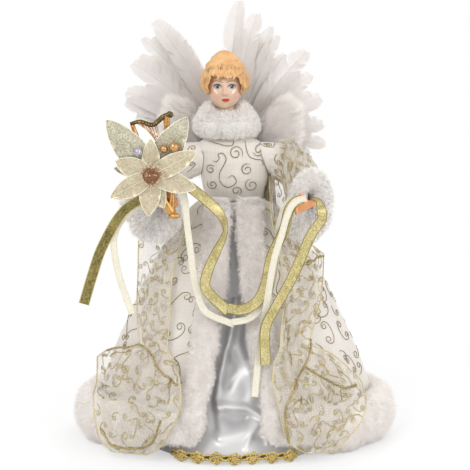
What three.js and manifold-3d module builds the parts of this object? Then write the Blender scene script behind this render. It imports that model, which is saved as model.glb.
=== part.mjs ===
// Christmas tree angel: a robed doll on a cardboard cone, with feather wings, a small harp and a fabric flower.
// Millimetres, +Z up, +X to the viewer's right. The doll faces -Y, so its right hand is at -X.
// The origin lies on the surface that the angel stands on, under the middle of its hem.
import * as THREE from "three";
import { mergeVertices } from "three/addons/utils/BufferGeometryUtils.js";
import Module from "manifold-3d";

const wasm = await Module();
wasm.setup();

// Driving dimensions shared by several pieces
const gap = 0.3; // left between two pieces that touch
const overrun = 5; // how far a cutter runs past what it cuts
const clothWall = 1; // a lined or doubled cloth wall
const ribbonWall = 0.6;
const headLean = 7; // the doll leans this far towards its right hand, measured at the head

// The cardboard cone that goes over the tree's top shoot
const cone = { baseRadius: 50, topRadius: 14, height: 152, wall: 1.6 };
const cap = { flange: 2, plugDepth: 6 };

// The padded body. Heights run from its base, and the table gives shares of its height, half width and half depth.
const torso = { height: 57, halfWidth: 23.5, halfDepth: 15 };
const torsoShares = [
  [0, 0.78, 0.76],
  [0.236, 0.84, 0.78],
  [0.522, 0.97, 1],
  [0.707, 1, 0.96],
  [0.842, 0.98, 0.88],
  [0.92, 0.87, 0.75],
  [1, 0.6, 0.56],
];
const torsoBase = cone.height + gap + cap.flange + gap;
const torsoTop = torsoBase + torso.height;
const waistShare = 0.236;
const waist = torsoBase + waistShare * torso.height;

// The moulded head on its shoulder plate
const head = { chinAboveBody: 19.1, height: 33.4, halfWidth: 12.3, halfDepth: 13.5, forward: 3 };
const plate = { height: 4, rim: 1, wideShare: 0.8 }; // its width is a share of the body's top
const neck = { radius: 6 };
const hair = { glueLine: 0.5, thickness: 2.8, bunRadius: 11.2, bunRise: 0.4, sideWave: 1.4 };

// The fur round the neck
const collar = { halfWidth: 24.3, halfDepth: 21, backDepth: 15, aboveBody: 1.7, tall: 23, frontDip: 5.4, lump: 0.8 };

// The robe: half width and half depth of the coat where the hem fur begins, and the power of its bell curve
const robe = {
  hemHalfWidth: 95.5,
  hemHalfDepth: 65.5,
  bellShare: 0.68,
  foldDepth: 2.4,
  folds: 12,
  frontFlare: 10, // how far the coat's front corners stand out at the hem
  flareShare: 0.111, // of a turn, to each side of the front
};
const hemFur = {
  halfWidth: 115, // of the whole hem, outside
  halfDepth: 85,
  thick: 12, // half the fur's thickness
  tall: 18, // half its height
  footCut: 0.5,
  endX: 28, // where the fur stops beside the front opening
  endThick: 3.4,
  endTall: 12.5,
  endLift: 6,
  taperRun: 32,
  lump: 1,
  lumps: 16,
};
const frontFur = { thick: 5, halfWidth: 10.5, centreX: -1 };
// Height share from the waist down to the hem fur, and the half gap between the two bands, in band widths
const openingShares = [
  [0, 0.03],
  [0.12, 0.06],
  [0.32, 0.24],
  [0.62, 0.76],
  [0.82, 1.1],
  [1, 1.7],
];
const satin = {
  hemHalfWidth: 86,
  hemHalfDepth: 59,
  bulgeShare: 0.108, // of a turn, to each side of the front
  hemHeight: 2,
  foldDepth: 5,
  folds: 9,
};
const trim = { height: 10, thick: 1.8, scallop: 1.1, pitch: 7.4, halfSpan: 43 };

// Arms. One wire runs out of each side of the body, and the arm turns on the wire's first stretch.
const arm = {
  wireRadius: 1.2,
  shoulderShare: 0.758, // of the body's height
  socketDepth: 9,
  sleeveRadiusTall: 13,
  sleeveRadiusDeep: 9,
  mouthTall: 20.5, // half the height of the sleeve's mouth
  mouthForward: 37,
  mouthDrop: 27,
  cuffThick: 5.8,
  cuffLump: 0.6,
  foldDepth: 0.9,
  wristDrop: 25,
};
// The ribbons hang this far ahead of the wrist that holds them.
const rightArm = { side: -1, mouthOut: 54.5, mouthHalfWidth: 15.5, wristOut: 51, wristForward: 52, ribbonsAhead: 13.2 };
const leftArm = { side: 1, mouthOut: 49, mouthHalfWidth: 10.5, wristOut: 50.5, wristForward: 55, ribbonsAhead: 10.2 };
const hand = { palmLength: 10, palmHalfWidth: 4, palmHalfDepth: 2.7, fingerRadius: 1.25, fingerLength: 8, thumbLength: 8 };

// The harp, in a plane in front of the right hand
const harp = {
  width: 27,
  height: 62,
  neckRadius: 1.5,
  pillarRadius: 2.4,
  pillarTwists: 5,
  soundboxWide: 3,
  soundboxDeep: 2.6,
  stringRadius: 0.45,
  strings: 4,
  footLength: 8,
  gripInward: 9.5, // the pillar's foot, from the right wrist towards the doll's middle
  gripAhead: 14.5,
  gripDrop: 5.8,
};

// The flower and what is tied in with it
const flower = {
  outward: 13, // its middle, from the foot of the harp's pillar
  above: 27.5,
  ahead: 10.1,
  reach: 33, // of its longest petal
  petalWall: 0.8,
  centreRadius: 5.6,
  eyeBackShare: 0.15, // the eye's back is this flat
  stemRadius: 1,
};
const berry = { radius: 3.5, smallShare: 0.76, pearlShare: 0.86 };

// Wings
const wing = {
  card: 1.4,
  cardHalfWidth: 15,
  cardHeight: 34,
  cardDrop: 12, // of the card's middle under the quills'
  patch: 1,
  patchHeight: 22,
  featherWall: 0.9,
  levels: 3, // feathers side by side lie on three levels, so that none cuts its neighbour
  hubRadius: 7,
  rootRise: 5, // of the quills over the shoulder
  span: 76,
  rise: 102,
  sweep: 12, // the tips lie this far behind the quills
};
const down = { thick: 2.6, halfWidth: 15, halfHeight: 29 };

// The organza stole
const stole = { wall: 0.8, clear: 0.9, reach: 6, forward: 13.5, foldDepth: 3, folds: 2 };

const ribbon = { goldWidth: 6.5, creamWidth: 4, clear: 0.8, reach: 3, layerStep: 1.8 };

// Small helpers
const V = (x, y, z) => new THREE.Vector3(x, y, z);
const mix = THREE.MathUtils.lerp;
const smooth = (x) => THREE.MathUtils.smoothstep(x, 0, 1);
const dome = (x) => Math.sqrt(Math.max(0, 1 - x * x));
const turn = 2 * Math.PI;

// Reads a table of rows [at, value, ...] at a place between its rows.
function readTable(table, at, column = 1) {
  const last = table.length - 1;
  if (at <= table[0][0]) return table[0][column];
  if (at >= table[last][0]) return table[last][column];
  const next = table.findIndex((row) => row[0] > at);
  const [a, b] = [table[next - 1], table[next]];
  return mix(a[column], b[column], smooth((at - a[0]) / (b[0] - a[0])));
}

// Makes a body from its points and triangles, with its faces turned outwards.
function bodyOf(points, triangles) {
  let volume = 0;
  for (let i = 0; i < triangles.length; i += 3) {
    const [a, b, c] = [points[triangles[i]], points[triangles[i + 1]], points[triangles[i + 2]]];
    volume += a.dot(b.clone().cross(c));
  }
  if (volume < 0) triangles.reverse();
  const geometry = new THREE.BufferGeometry().setFromPoints(points);
  geometry.setIndex(triangles);
  return geometry;
}

// Joins rings of equally many points into a solid. A closed loft runs back to its first ring.
function loft(rings, closed = false) {
  const sides = rings[0].length;
  const points = rings.flat();
  const triangles = [];
  const spans = closed ? rings.length : rings.length - 1;
  for (let i = 0; i < spans; i++)
    for (let j = 0; j < sides; j++) {
      const [a, b] = [i * sides + j, i * sides + ((j + 1) % sides)];
      const next = ((i + 1) % rings.length) * sides;
      const [c, d] = [next + ((j + 1) % sides), next + j];
      triangles.push(a, b, c, a, c, d);
    }
  if (!closed)
    for (let j = 1; j < sides - 1; j++) {
      const end = (rings.length - 1) * sides;
      triangles.push(0, j + 1, j, end, end + j, end + j + 1);
    }
  return bodyOf(points, triangles);
}

// Gives a sheet of points, rows by columns, a wall. A wrapped sheet joins its last column to its first.
function sheet(rows, wall, wrapped = false) {
  const [height, width] = [rows.length, rows[0].length];
  const at = (i, j) => rows[THREE.MathUtils.clamp(i, 0, height - 1)][
    wrapped ? (j + width) % width : THREE.MathUtils.clamp(j, 0, width - 1)];
  const front = [];
  const back = [];
  for (let i = 0; i < height; i++)
    for (let j = 0; j < width; j++) {
      const along = at(i + 1, j).clone().sub(at(i - 1, j));
      const across = at(i, j + 1).clone().sub(at(i, j - 1));
      const step = along.cross(across).setLength(wall / 2);
      front.push(at(i, j).clone().add(step));
      back.push(at(i, j).clone().sub(step));
    }
  const points = [...front, ...back];
  const other = front.length;
  const triangles = [];
  const quad = (a, b, c, d) => triangles.push(a, b, c, a, c, d);
  const columns = wrapped ? width : width - 1;
  for (let j = 0; j < columns; j++) {
    const k = (j + 1) % width;
    for (let i = 0; i < height - 1; i++) {
      const [a, b, c, d] = [i * width + j, i * width + k, (i + 1) * width + k, (i + 1) * width + j];
      quad(a, d, c, b);
      quad(other + a, other + b, other + c, other + d);
    }
    const end = (height - 1) * width;
    quad(j, k, other + k, other + j);
    quad(end + k, end + j, other + end + j, other + end + k);
  }
  if (!wrapped)
    for (let i = 0; i < height - 1; i++) {
      const [a, d] = [i * width, (i + 1) * width];
      const [b, c] = [a + width - 1, d + width - 1];
      quad(d, a, other + a, other + d);
      quad(b, c, other + c, other + b);
    }
  return bodyOf(points, triangles);
}

// A ring of points round a centre, in the plane of two directions.
function ringAt(centre, u, v, a, b, sides, shape = () => 1) {
  return Array.from({ length: sides }, (_, j) => {
    const angle = (turn * j) / sides;
    const k = shape(angle);
    return centre.clone().addScaledVector(u, a * k * Math.cos(angle)).addScaledVector(v, b * k * Math.sin(angle));
  });
}

// A round rod along a curve, whose radius may change along it.
function rod(points, radiusAt, sides, steps) {
  const curve = new THREE.CatmullRomCurve3(points);
  const frames = curve.computeFrenetFrames(steps);
  const rings = Array.from({ length: steps + 1 }, (_, i) => {
    const r = radiusAt(i / steps);
    return ringAt(curve.getPointAt(i / steps), frames.normals[i], frames.binormals[i], r, r, sides);
  });
  return loft(rings);
}

function toSolid(geometry) {
  const bare = geometry.clone();
  bare.deleteAttribute("normal");
  bare.deleteAttribute("uv");
  const merged = mergeVertices(bare);
  return new wasm.Manifold(new wasm.Mesh({
    numProp: 3,
    vertProperties: new Float32Array(merged.attributes.position.array),
    triVerts: new Uint32Array(merged.index.array),
  }));
}

function fromSolid(solid) {
  const { vertProperties, triVerts } = solid.getMesh();
  const geometry = new THREE.BufferGeometry();
  geometry.setAttribute("position", new THREE.BufferAttribute(vertProperties, 3));
  geometry.setIndex(new THREE.BufferAttribute(triVerts, 1));
  return geometry;
}

const joined = (geometries) => geometries.map(toSolid).reduce((a, b) => a.add(b));

// Materials, one for each finish
const finish = (color, roughness, metalness = 0) => ({ color, roughness, metalness });
const finishes = {
  cardboard: finish(0xc9b79a, 0.9),
  padding: finish(0xe6e0d6, 0.95),
  skin: finish(0xf0cfb8, 0.45),
  handSkin: finish(0xe8945f, 0.4),
  hair: finish(0xe6b56e, 0.5),
  scrollCloth: finish(0xece4dc, 0.75),
  satin: finish(0xdad8d8, 0.35),
  fur: finish(0xf2eeea, 1),
  gimp: finish(0xa98843, 0.45, 0.6),
  goldRibbon: finish(0xc7bd74, 0.4, 0.5),
  creamRibbon: finish(0xf3edd9, 0.4),
  organza: finish(0xd6ccbe, 0.5),
  harpGold: finish(0xbd7d35, 0.3, 0.8),
  petal: finish(0xd0c2a0, 0.6),
  flowerEye: finish(0x6b4030, 0.5),
  leaf: finish(0xc2bb98, 0.5),
  goldBerry: finish(0xc98742, 0.2, 0.8),
  pearl: finish(0xb5adb8, 0.2, 0.4),
  feather: finish(0xe6e1dc, 0.8),
  down: finish(0xe3dbd2, 1),
  wire: finish(0xd8d4cc, 0.6),
};

const angel = new THREE.Group();
const rightArmGroup = new THREE.Group();
const leftArmGroup = new THREE.Group();
angel.add(rightArmGroup, leftArmGroup);

function addPiece(name, geometry, finishName, group = angel) {
  const mesh = new THREE.Mesh(geometry, new THREE.MeshStandardMaterial(finishes[finishName]));
  mesh.name = name;
  group.add(mesh);
}

// How far the doll leans at a height.
const leanEnd = torsoTop + head.chinAboveBody;
const leanStart = torsoBase + torsoShares[2][0] * torso.height;
const leanAt = (z) => -headLean * smooth((z - leanStart) / (leanEnd - leanStart));

// Cardboard cone, open below, and the cap that closes it and carries the body
function makeCone() {
  const profile = [
    new THREE.Vector2(cone.baseRadius - cone.wall, 0),
    new THREE.Vector2(cone.baseRadius, 0),
    new THREE.Vector2(cone.topRadius, cone.height),
    new THREE.Vector2(cone.topRadius - cone.wall, cone.height),
    new THREE.Vector2(cone.baseRadius - cone.wall, 0),
  ];
  const coneSides = 40;
  return new THREE.LatheGeometry(profile, coneSides).rotateX(Math.PI / 2);
}

function makeCap() {
  const slope = (cone.baseRadius - cone.topRadius) / cone.height;
  const plugRadius = cone.topRadius - cone.wall - 2 * gap;
  const underside = cone.height + gap;
  const profile = [
    new THREE.Vector2(0, underside - cap.plugDepth),
    new THREE.Vector2(plugRadius - slope, underside - cap.plugDepth),
    new THREE.Vector2(plugRadius, underside),
    new THREE.Vector2(cone.topRadius, underside),
    new THREE.Vector2(cone.topRadius, underside + cap.flange),
    new THREE.Vector2(0, underside + cap.flange),
  ];
  const capSides = 32;
  return new THREE.LatheGeometry(profile, capSides).rotateX(Math.PI / 2);
}

// Body, bodice and shoulder plate share one section.
const bodySides = 20;
const across = V(1, 0, 0);
const deep = V(0, 1, 0);
const upright = V(0, 0, 1);

function bodyRing(z, grow) {
  const share = (z - torsoBase) / torso.height;
  const halfWidth = torso.halfWidth * readTable(torsoShares, share, 1) + grow;
  const halfDepth = torso.halfDepth * readTable(torsoShares, share, 2) + grow;
  return ringAt(V(leanAt(z), 0, z), across, deep, halfWidth, halfDepth, bodySides);
}

const bodiceSteps = 8;
const bodiceHeights = Array.from({ length: bodiceSteps + 1 }, (_, i) => mix(waist + gap, torsoTop, i / bodiceSteps));

const shoulder = torsoBase + arm.shoulderShare * torso.height;

// The straight stretch of arm wire that crosses the body wall, with room to turn
function socketCutter(side) {
  const reach = torso.halfWidth + overrun;
  const inner = reach - arm.socketDepth - overrun;
  const run = reach - inner + overrun;
  const socketSides = 16;
  const cutter = new THREE.CylinderGeometry(arm.wireRadius + gap, arm.wireRadius + gap, run, socketSides);
  cutter.rotateZ(Math.PI / 2);
  cutter.translate(leanAt(shoulder) + side * (inner + run / 2), 0, shoulder);
  return toSolid(cutter);
}

function makeTorso() {
  const rings = [torsoBase, ...bodiceHeights].map((z) => bodyRing(z, 0));
  const solid = toSolid(loft(rings)).subtract(socketCutter(-1)).subtract(socketCutter(1));
  return fromSolid(solid);
}

function makeBodice() {
  const lift = gap + clothWall / 2; // on the sloping shoulders
  const rows = bodiceHeights.map((z) => bodyRing(z, gap + clothWall / 2)
    .map((p) => p.setZ(z + lift * smooth((z - shoulder) / (torsoTop - shoulder)))));
  const solid = toSolid(sheet(rows, clothWall, true)).subtract(socketCutter(-1)).subtract(socketCutter(1));
  return fromSolid(solid);
}

// Head: a face on an egg-shaped skull. Each feature is [across, up, half width, half height, rise], as shares of the
// head's half width, half height, half width, half height and half depth.
const chin = torsoTop + head.chinAboveBody;
const skullCentre = V(-headLean, -head.forward, chin + head.height / 2);
const plateTop = torsoTop + gap + plate.rim + plate.height;
const neckAt = (z) => mix(leanAt(plateTop), -headLean, (z - plateTop) / (skullCentre.z - plateTop));
const featureShares = [
  [0, -0.1, 0.13, 0.2, 0.1], // nose ridge
  [0, -0.27, 0.17, 0.09, 0.13], // nose tip
  [0.4, 0, 0.24, 0.12, -0.09], // eye sockets
  [-0.4, 0, 0.24, 0.12, -0.09],
  [0.46, -0.32, 0.3, 0.2, 0.05], // cheeks
  [-0.46, -0.32, 0.3, 0.2, 0.05],
  [0, -0.53, 0.2, 0.05, 0.05], // lips
  [0, -0.62, 0.18, 0.05, 0.045],
  [0, -0.86, 0.26, 0.13, 0.1], // chin
  [0.34, 0.21, 0.26, 0.07, 0.03], // brows
  [-0.34, 0.21, 0.26, 0.07, 0.03],
];

function skull(grow, withFace) {
  const [columns, rows] = withFace ? [24, 20] : [18, 12];
  const egg = new THREE.SphereGeometry(1, columns, rows).rotateX(Math.PI / 2).rotateZ(-Math.PI / 2);
  const position = egg.attributes.position;
  const halfHeight = head.height / 2;
  const jawShare = 0.14;
  for (let i = 0; i < position.count; i++) {
    const p = V().fromBufferAttribute(position, i);
    const narrow = 1 - jawShare * smooth(-p.z) * Math.abs(p.z);
    let rise = 0;
    if (withFace && p.y < 0)
      for (const [x, z, w, h, out] of featureShares)
        rise += out * Math.exp(-(((p.x * narrow - x) / w) ** 2) - ((p.z - z) / h) ** 2);
    p.set(
      p.x * narrow * (head.halfWidth + grow),
      p.y * (head.halfDepth * mix(narrow, 1, 1 / 2) + grow) - rise * head.halfDepth,
      p.z * (halfHeight + grow),
    );
    position.setXYZ(i, ...p.add(skullCentre));
  }
  return egg;
}

function makeHead() {
  const neckSides = 20;
  const plateBase = torsoTop + gap;
  const rings = [];
  const plateSteps = 4;
  for (let i = 0; i <= plateSteps; i++) {
    const share = i / plateSteps;
    const z = plateBase + plate.rim + share * plate.height;
    const spread = (1 - Math.sin((share * Math.PI) / 2)) ** 1.2;
    const lastWide = plate.wideShare * torso.halfWidth * readTable(torsoShares, 1, 1);
    const lastDeep = plate.wideShare * torso.halfDepth * readTable(torsoShares, 1, 2);
    if (!i) rings.push(ringAt(V(leanAt(plateBase), 0, plateBase), across, deep, lastWide, lastDeep, neckSides));
    rings.push(ringAt(V(leanAt(z), 0, z), across, deep,
      mix(neck.radius, lastWide, spread), mix(neck.radius, lastDeep, spread), neckSides));
  }
  rings.push(ringAt(V(-headLean, 0, skullCentre.z), across, deep, neck.radius, neck.radius, neckSides));
  return fromSolid(joined([skull(0, true), loft(rings)]));
}

// Hair: moulded waves from a low fringe over the crown, with a soft bun on top. It is cut to the skull it is glued on.
function makeHair() {
  const [columns, rows] = [24, 12];
  const cap = new THREE.SphereGeometry(1, columns, rows).rotateX(Math.PI / 2);
  const position = cap.attributes.position;
  const waves = 8;
  for (let i = 0; i < position.count; i++) {
    const p = V().fromBufferAttribute(position, i);
    const around = Math.atan2(p.y, p.x);
    const side = Math.abs(p.x) ** 3 * Math.exp(-(p.z ** 2) * 4);
    const ripple = (hair.sideWave / 4) * Math.cos(waves * around) * dome(p.z);
    const grow = hair.thickness + side * hair.sideWave + ripple;
    p.set(p.x * (head.halfWidth + grow), p.y * (head.halfDepth + grow), p.z * (head.height / 2 + hair.thickness));
    position.setXYZ(i, ...p.add(skullCentre));
  }
  const [bunColumns, bunRows] = [12, 6];
  const bun = new THREE.SphereGeometry(hair.bunRadius, bunColumns, bunRows).rotateX(Math.PI / 2);
  const [bunDeepShare, bunTallShare] = [0.8, 0.67];
  bun.scale(1, bunDeepShare, bunTallShare);
  bun.translate(skullCentre.x, skullCentre.y, skullCentre.z + head.height / 2 + hair.bunRise);
  const hairLineShare = 0.3; // height of the hairline over the head's middle
  const [faceWideShare, faceFloorShare] = [0.89, 1.3];
  const halfHeight = head.height / 2;
  const faceTop = hairLineShare * halfHeight;
  const faceFloor = faceFloorShare * halfHeight;
  const faceHalf = faceWideShare * head.halfWidth;
  const faceSides = 24;
  const face = new THREE.CylinderGeometry(faceHalf, faceHalf, head.halfDepth + hair.thickness + overrun, faceSides);
  face.scale(1, 1, (faceTop + faceFloor) / (2 * faceHalf));
  face.translate(skullCentre.x, skullCentre.y - (head.halfDepth + hair.thickness + overrun) / 2,
    skullCentre.z + (faceTop - faceFloor) / 2);
  const nape = 2 * (head.halfWidth + hair.thickness + overrun);
  const below = new THREE.BoxGeometry(nape, nape, head.height);
  const napeShare = 0.35; // the hair ends this far below the head's middle
  below.translate(skullCentre.x, skullCentre.y, skullCentre.z - napeShare * halfHeight - head.height / 2);
  const solid = joined([cap, bun]).subtract(toSolid(skull(hair.glueLine, false))).subtract(toSolid(face)).subtract(toSolid(below));
  return fromSolid(solid);
}

// Fur collar: it lies on the shoulders and narrows up to the jaw. Its section is a table of shares, from the neck out
// to the rim and from the underside up.
const collarShares = [
  [1, 0.25],
  [0.92, 0.48],
  [0.67, 0.78],
  [0.31, 1],
  [0.18, 0.99],
  [0, 0.68],
  [0, 0.2],
  [0.35, 0.02],
  [0.76, 0],
];

function makeCollar() {
  const around = 24;
  const lumps = 8;
  const base = torsoTop + collar.aboveBody;
  const rings = Array.from({ length: around }, (_, i) => {
    const angle = (turn * i) / around;
    const out = V(Math.cos(angle), Math.sin(angle), 0);
    const halfDepth = mix(collar.halfDepth, collar.backDepth, smooth(1.2 * out.y)); // pressed flat by the wings behind
    const rim = 1 / Math.hypot(out.x / collar.halfWidth, out.y / halfDepth) + collar.lump * (Math.cos(lumps * angle) - 1) / 2;
    const tall = collar.tall - collar.frontDip * smooth(-2 * out.y - 0.4);
    const inside = neck.radius + gap;
    return collarShares.map(([outShare, upShare]) => {
      const z = base + upShare * (upShare > 0.5 ? tall : collar.tall);
      const r = mix(inside, rim, outShare);
      return V(neckAt(z) + r * out.x, r * out.y, z);
    });
  });
  return loft(rings, true);
}

// Robe surface. Angles run from the front, a quarter turn at the doll's left side.
const hemFurTop = 2 * hemFur.tall - hemFur.footCut;
const robeDrop = waist - hemFurTop;
const robeShare = (z) => THREE.MathUtils.clamp((waist - z) / robeDrop, 0, 1);
const waistWide = torso.halfWidth * readTable(torsoShares, waistShare, 1) + 2 * gap + 1.5 * clothWall;
const waistDeep = torso.halfDepth * readTable(torsoShares, waistShare, 2) + 2 * gap + 1.5 * clothWall;
const bell = (share) => share ** robe.bellShare;
const robeWide = (z) => mix(waistWide, robe.hemHalfWidth, bell(robeShare(z)));
const robeDeep = (z) => mix(waistDeep, robe.hemHalfDepth, bell(robeShare(z)));

// How far an angle lies from the front, without its sign.
const offFrontOf = (angle) => Math.abs(THREE.MathUtils.euclideanModulo(angle + Math.PI, turn) - Math.PI);

function robePoint(angle, z, inset = 0) {
  const fold = robe.foldDepth * robeShare(z) * (Math.cos(robe.folds * angle) - 1) / 2;
  const grow = fold - inset;
  const offFront = offFrontOf(angle);
  const flare = robe.frontFlare * robeShare(z) ** 6 * Math.exp(-((offFront / (robe.flareShare * turn)) ** 4));
  return V(leanAt(z) + (robeWide(z) + grow) * Math.sin(angle), -(robeDeep(z) + grow) * Math.cos(angle) - flare, z);
}

// Hem fur section at an angle: its outer half sizes, half thickness, half height and the height of its middle
function hemSection(angle) {
  const lump = (hemFur.lump * (Math.cos(hemFur.lumps * angle) - 1)) / 2;
  const x = Math.abs(hemFur.halfWidth * Math.sin(angle));
  const full = Math.cos(angle) < 0 ? 1 : smooth((x - trim.halfSpan - trim.pitch / 2) / hemFur.taperRun);
  const thick = mix(hemFur.endThick, hemFur.thick, full);
  const tall = mix(hemFur.endTall, hemFur.tall, full) + lump / 2;
  const middle = hemFur.tall - hemFur.footCut + mix(hemFur.endLift, 0, full);
  return { wide: hemFur.halfWidth + lump - thick, depth: hemFur.halfDepth + lump - thick, thick, tall, middle };
}

function makeHemFur() {
  const [around, sides] = [40, 12];
  const start = Math.asin(hemFur.endX / hemFur.halfWidth);
  const roundEndShares = [[-0.02, 0.35], [-0.006, 0.75], [0, 1]];
  const stations = Array.from({ length: around + 1 }, (_, i) => [i / around, 1]);
  stations.splice(0, 1, ...roundEndShares);
  stations.splice(-1, 1, ...roundEndShares.map(([at, size]) => [1 - at, size]).reverse());
  const rings = stations.map(([share, size]) => {
    const angle = mix(start, turn - start, share);
    const { wide, depth, thick, tall, middle } = hemSection(angle);
    const centre = V(wide * Math.sin(angle), -depth * Math.cos(angle), middle);
    const out = V(Math.sin(angle), -Math.cos(angle), 0);
    const ring = ringAt(centre, out, upright, thick * size, tall * size, sides);
    for (const p of ring) p.z = Math.max(0, p.z);
    return ring;
  });
  return loft(rings);
}

// Front fur bands
const bandBottomShare = 0.985;
const halfOpening = (z) => frontFur.halfWidth * readTable(openingShares, robeShare(z));
const bandCentre = (side, z) => leanAt(z) + frontFur.centreX + side * (halfOpening(z) + frontFur.halfWidth);
const coatWallAt = clothWall / 2 + gap;

function coatFrontAt(x, z) {
  const sine = THREE.MathUtils.clamp((x - leanAt(z)) / robeWide(z), -1, 1);
  return robePoint(Math.asin(sine), z).y;
}

function makeFrontFur(side) {
  const [steps, sides] = [12, 10];
  const bottom = mix(waist, hemFurTop, bandBottomShare);
  const endShares = [[-0.03, 0.3], [-0.01, 0.75]];
  const stations = Array.from({ length: steps + 1 }, (_, i) => [i / steps, 1]);
  stations.unshift(...endShares);
  const rings = stations.map(([share, size]) => {
    const z = mix(waist, bottom, share);
    const x = bandCentre(side, z);
    const halfWidth = frontFur.halfWidth * size - gap / 2;
    const back = Math.min(coatFrontAt(x, z), coatFrontAt(x - halfWidth / 2, z), coatFrontAt(x + halfWidth / 2, z));
    const thick = frontFur.thick * size;
    const slope = (coatFrontAt(x + gap, z) - coatFrontAt(x - gap, z)) / (2 * gap);
    const along = V(1, slope, 0).normalize();
    const centre = V(x, back - coatWallAt - frontFur.thick, z);
    return ringAt(centre, along, V(along.y, -along.x, 0), halfWidth, thick, sides);
  });
  return loft(rings);
}

// Coat skirt: scroll cloth, open at the front, each edge sewn under the middle of its fur band
function makeCoat() {
  const [rows, columns] = [8, 40];
  const top = waist + clothWall;
  const grid = Array.from({ length: rows + 1 }, (_, i) => {
    const share = (i / rows) ** 1.25;
    const z = mix(top, hemFurTop, share);
    const rightEdge = Math.asin((bandCentre(1, z) - leanAt(z)) / robeWide(z));
    const leftEdge = Math.asin((bandCentre(-1, z) - leanAt(z)) / robeWide(z));
    return Array.from({ length: columns + 1 }, (_, j) => {
      const angle = mix(rightEdge, turn + leftEdge, j / columns);
      return robePoint(angle, z);
    });
  });
  const seatShare = 0.6; // the coat's edge lies on the fur within this share of its half thickness
  for (const [j, p] of grid[rows].entries()) {
    const angle = Math.atan2(p.x / robe.hemHalfWidth, -p.y / robe.hemHalfDepth);
    const { wide, depth, thick, tall, middle } = hemSection(angle);
    const radius = Math.hypot(p.x, p.y);
    const furRadius = Math.hypot(wide * Math.sin(angle), depth * Math.cos(angle));
    const offMiddle = THREE.MathUtils.clamp((radius - furRadius) / thick, -seatShare, seatShare);
    const seat = middle + tall * dome(offMiddle) + gap + clothWall / 2;
    p.z = Math.min(seat, grid[rows - 1][j].z - clothWall);
  }
  return sheet(grid, clothWall);
}

// The front of the satin stands out so far that the braid on it is level with the front of the hem.
const frontBulge = hemFur.halfDepth - satin.hemHalfDepth - clothWall / 2 - gap - trim.thick;

// Satin underskirt: deep folds that grow towards the hem, standing out at the front between the ends of the fur
function satinPoint(angle, z) {
  const share = (waist - z) / (waist - satin.hemHeight);
  const offFront = offFrontOf(angle);
  const bulge = frontBulge * share ** 7 * Math.exp(-((offFront / (satin.bulgeShare * turn)) ** 6));
  const innerWide = torso.halfWidth * readTable(torsoShares, waistShare, 1) + gap + clothWall / 2;
  const innerDeep = torso.halfDepth * readTable(torsoShares, waistShare, 2) + gap + clothWall / 2;
  const foldShare = 1 - Math.exp(-((offFront / 0.9) ** 2) / 2) / 2;
  const fold = satin.foldDepth * share * foldShare * (Math.cos(satin.folds * angle + 1.2 * share) - 1) / 2;
  const wide = mix(innerWide, satin.hemHalfWidth, share ** 0.8) + fold;
  const depth = mix(innerDeep, satin.hemHalfDepth, share ** 0.8) + fold;
  return V(leanAt(z) + wide * Math.sin(angle), -depth * Math.cos(angle) - bulge, z);
}

function makeSatin() {
  const [rows, columns] = [7, 45];
  const grid = Array.from({ length: rows + 1 }, (_, i) => {
    const z = mix(waist - clothWall, satin.hemHeight, i / rows);
    return Array.from({ length: columns }, (_, j) => satinPoint((turn * j) / columns, z));
  });
  return sheet(grid, clothWall, true);
}

// Gimp braid along the satin's hem: a flat braid with a row of round scallops above and below
function makeTrim() {
  const count = Math.round((2 * trim.halfSpan) / trim.pitch);
  const perScallop = 3;
  const columns = count * perScallop;
  const middle = trim.height / 2;
  const grid = [-1, 0, 1].map((level) => Array.from({ length: columns + 1 }, (_, j) => {
    const x = mix(-trim.halfSpan, trim.halfSpan, j / columns);
    const angle = Math.asin(x / satin.hemHalfWidth);
    const hem = satinPoint(angle, satin.hemHeight);
    const edge = middle - trim.scallop * (1 + Math.cos((turn * j) / perScallop)) / 2;
    const y = hem.y - clothWall / 2 - gap - trim.thick / 2;
    return V(x, y, middle + level * edge);
  }));
  return sheet(grid, trim.thick);
}

// Arms. The wire runs straight out of its socket, then down and forward through the sleeve to the wrist.
const armGroup = (a) => (a.side < 0 ? rightArmGroup : leftArmGroup);
const bodySideAt = (a, z) => leanAt(z) + a.side * (bodyHalfWidthAt(z) + gap + clothWall);
const bodySide = (a) => bodySideAt(a, shoulder);
const wristAt = (a) => V(a.side * a.wristOut, -a.wristForward, shoulder - arm.wristDrop);

function bodyHalfWidthAt(z) {
  return torso.halfWidth * readTable(torsoShares, (z - torsoBase) / torso.height, 1);
}

function makeArmWire(a, forward) {
  const inner = bodySide(a) - a.side * (arm.socketDepth - gap);
  const wrist = wristAt(a);
  const out = wrist.x - bodySide(a);
  const route = [
    V(inner, 0, shoulder),
    V(bodySide(a), 0, shoulder),
    V(bodySide(a) + out / 7, 0, shoulder),
    V(bodySide(a) + (2 * out) / 3, wrist.y / 6, mix(shoulder, wrist.z, 1 / 4)),
    wrist.clone().addScaledVector(forward, -(hand.palmLength / 2 + gap + arm.wireRadius)),
  ];
  const [sides, steps] = [8, 12];
  return rod(route, () => arm.wireRadius, sides, steps);
}

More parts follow.
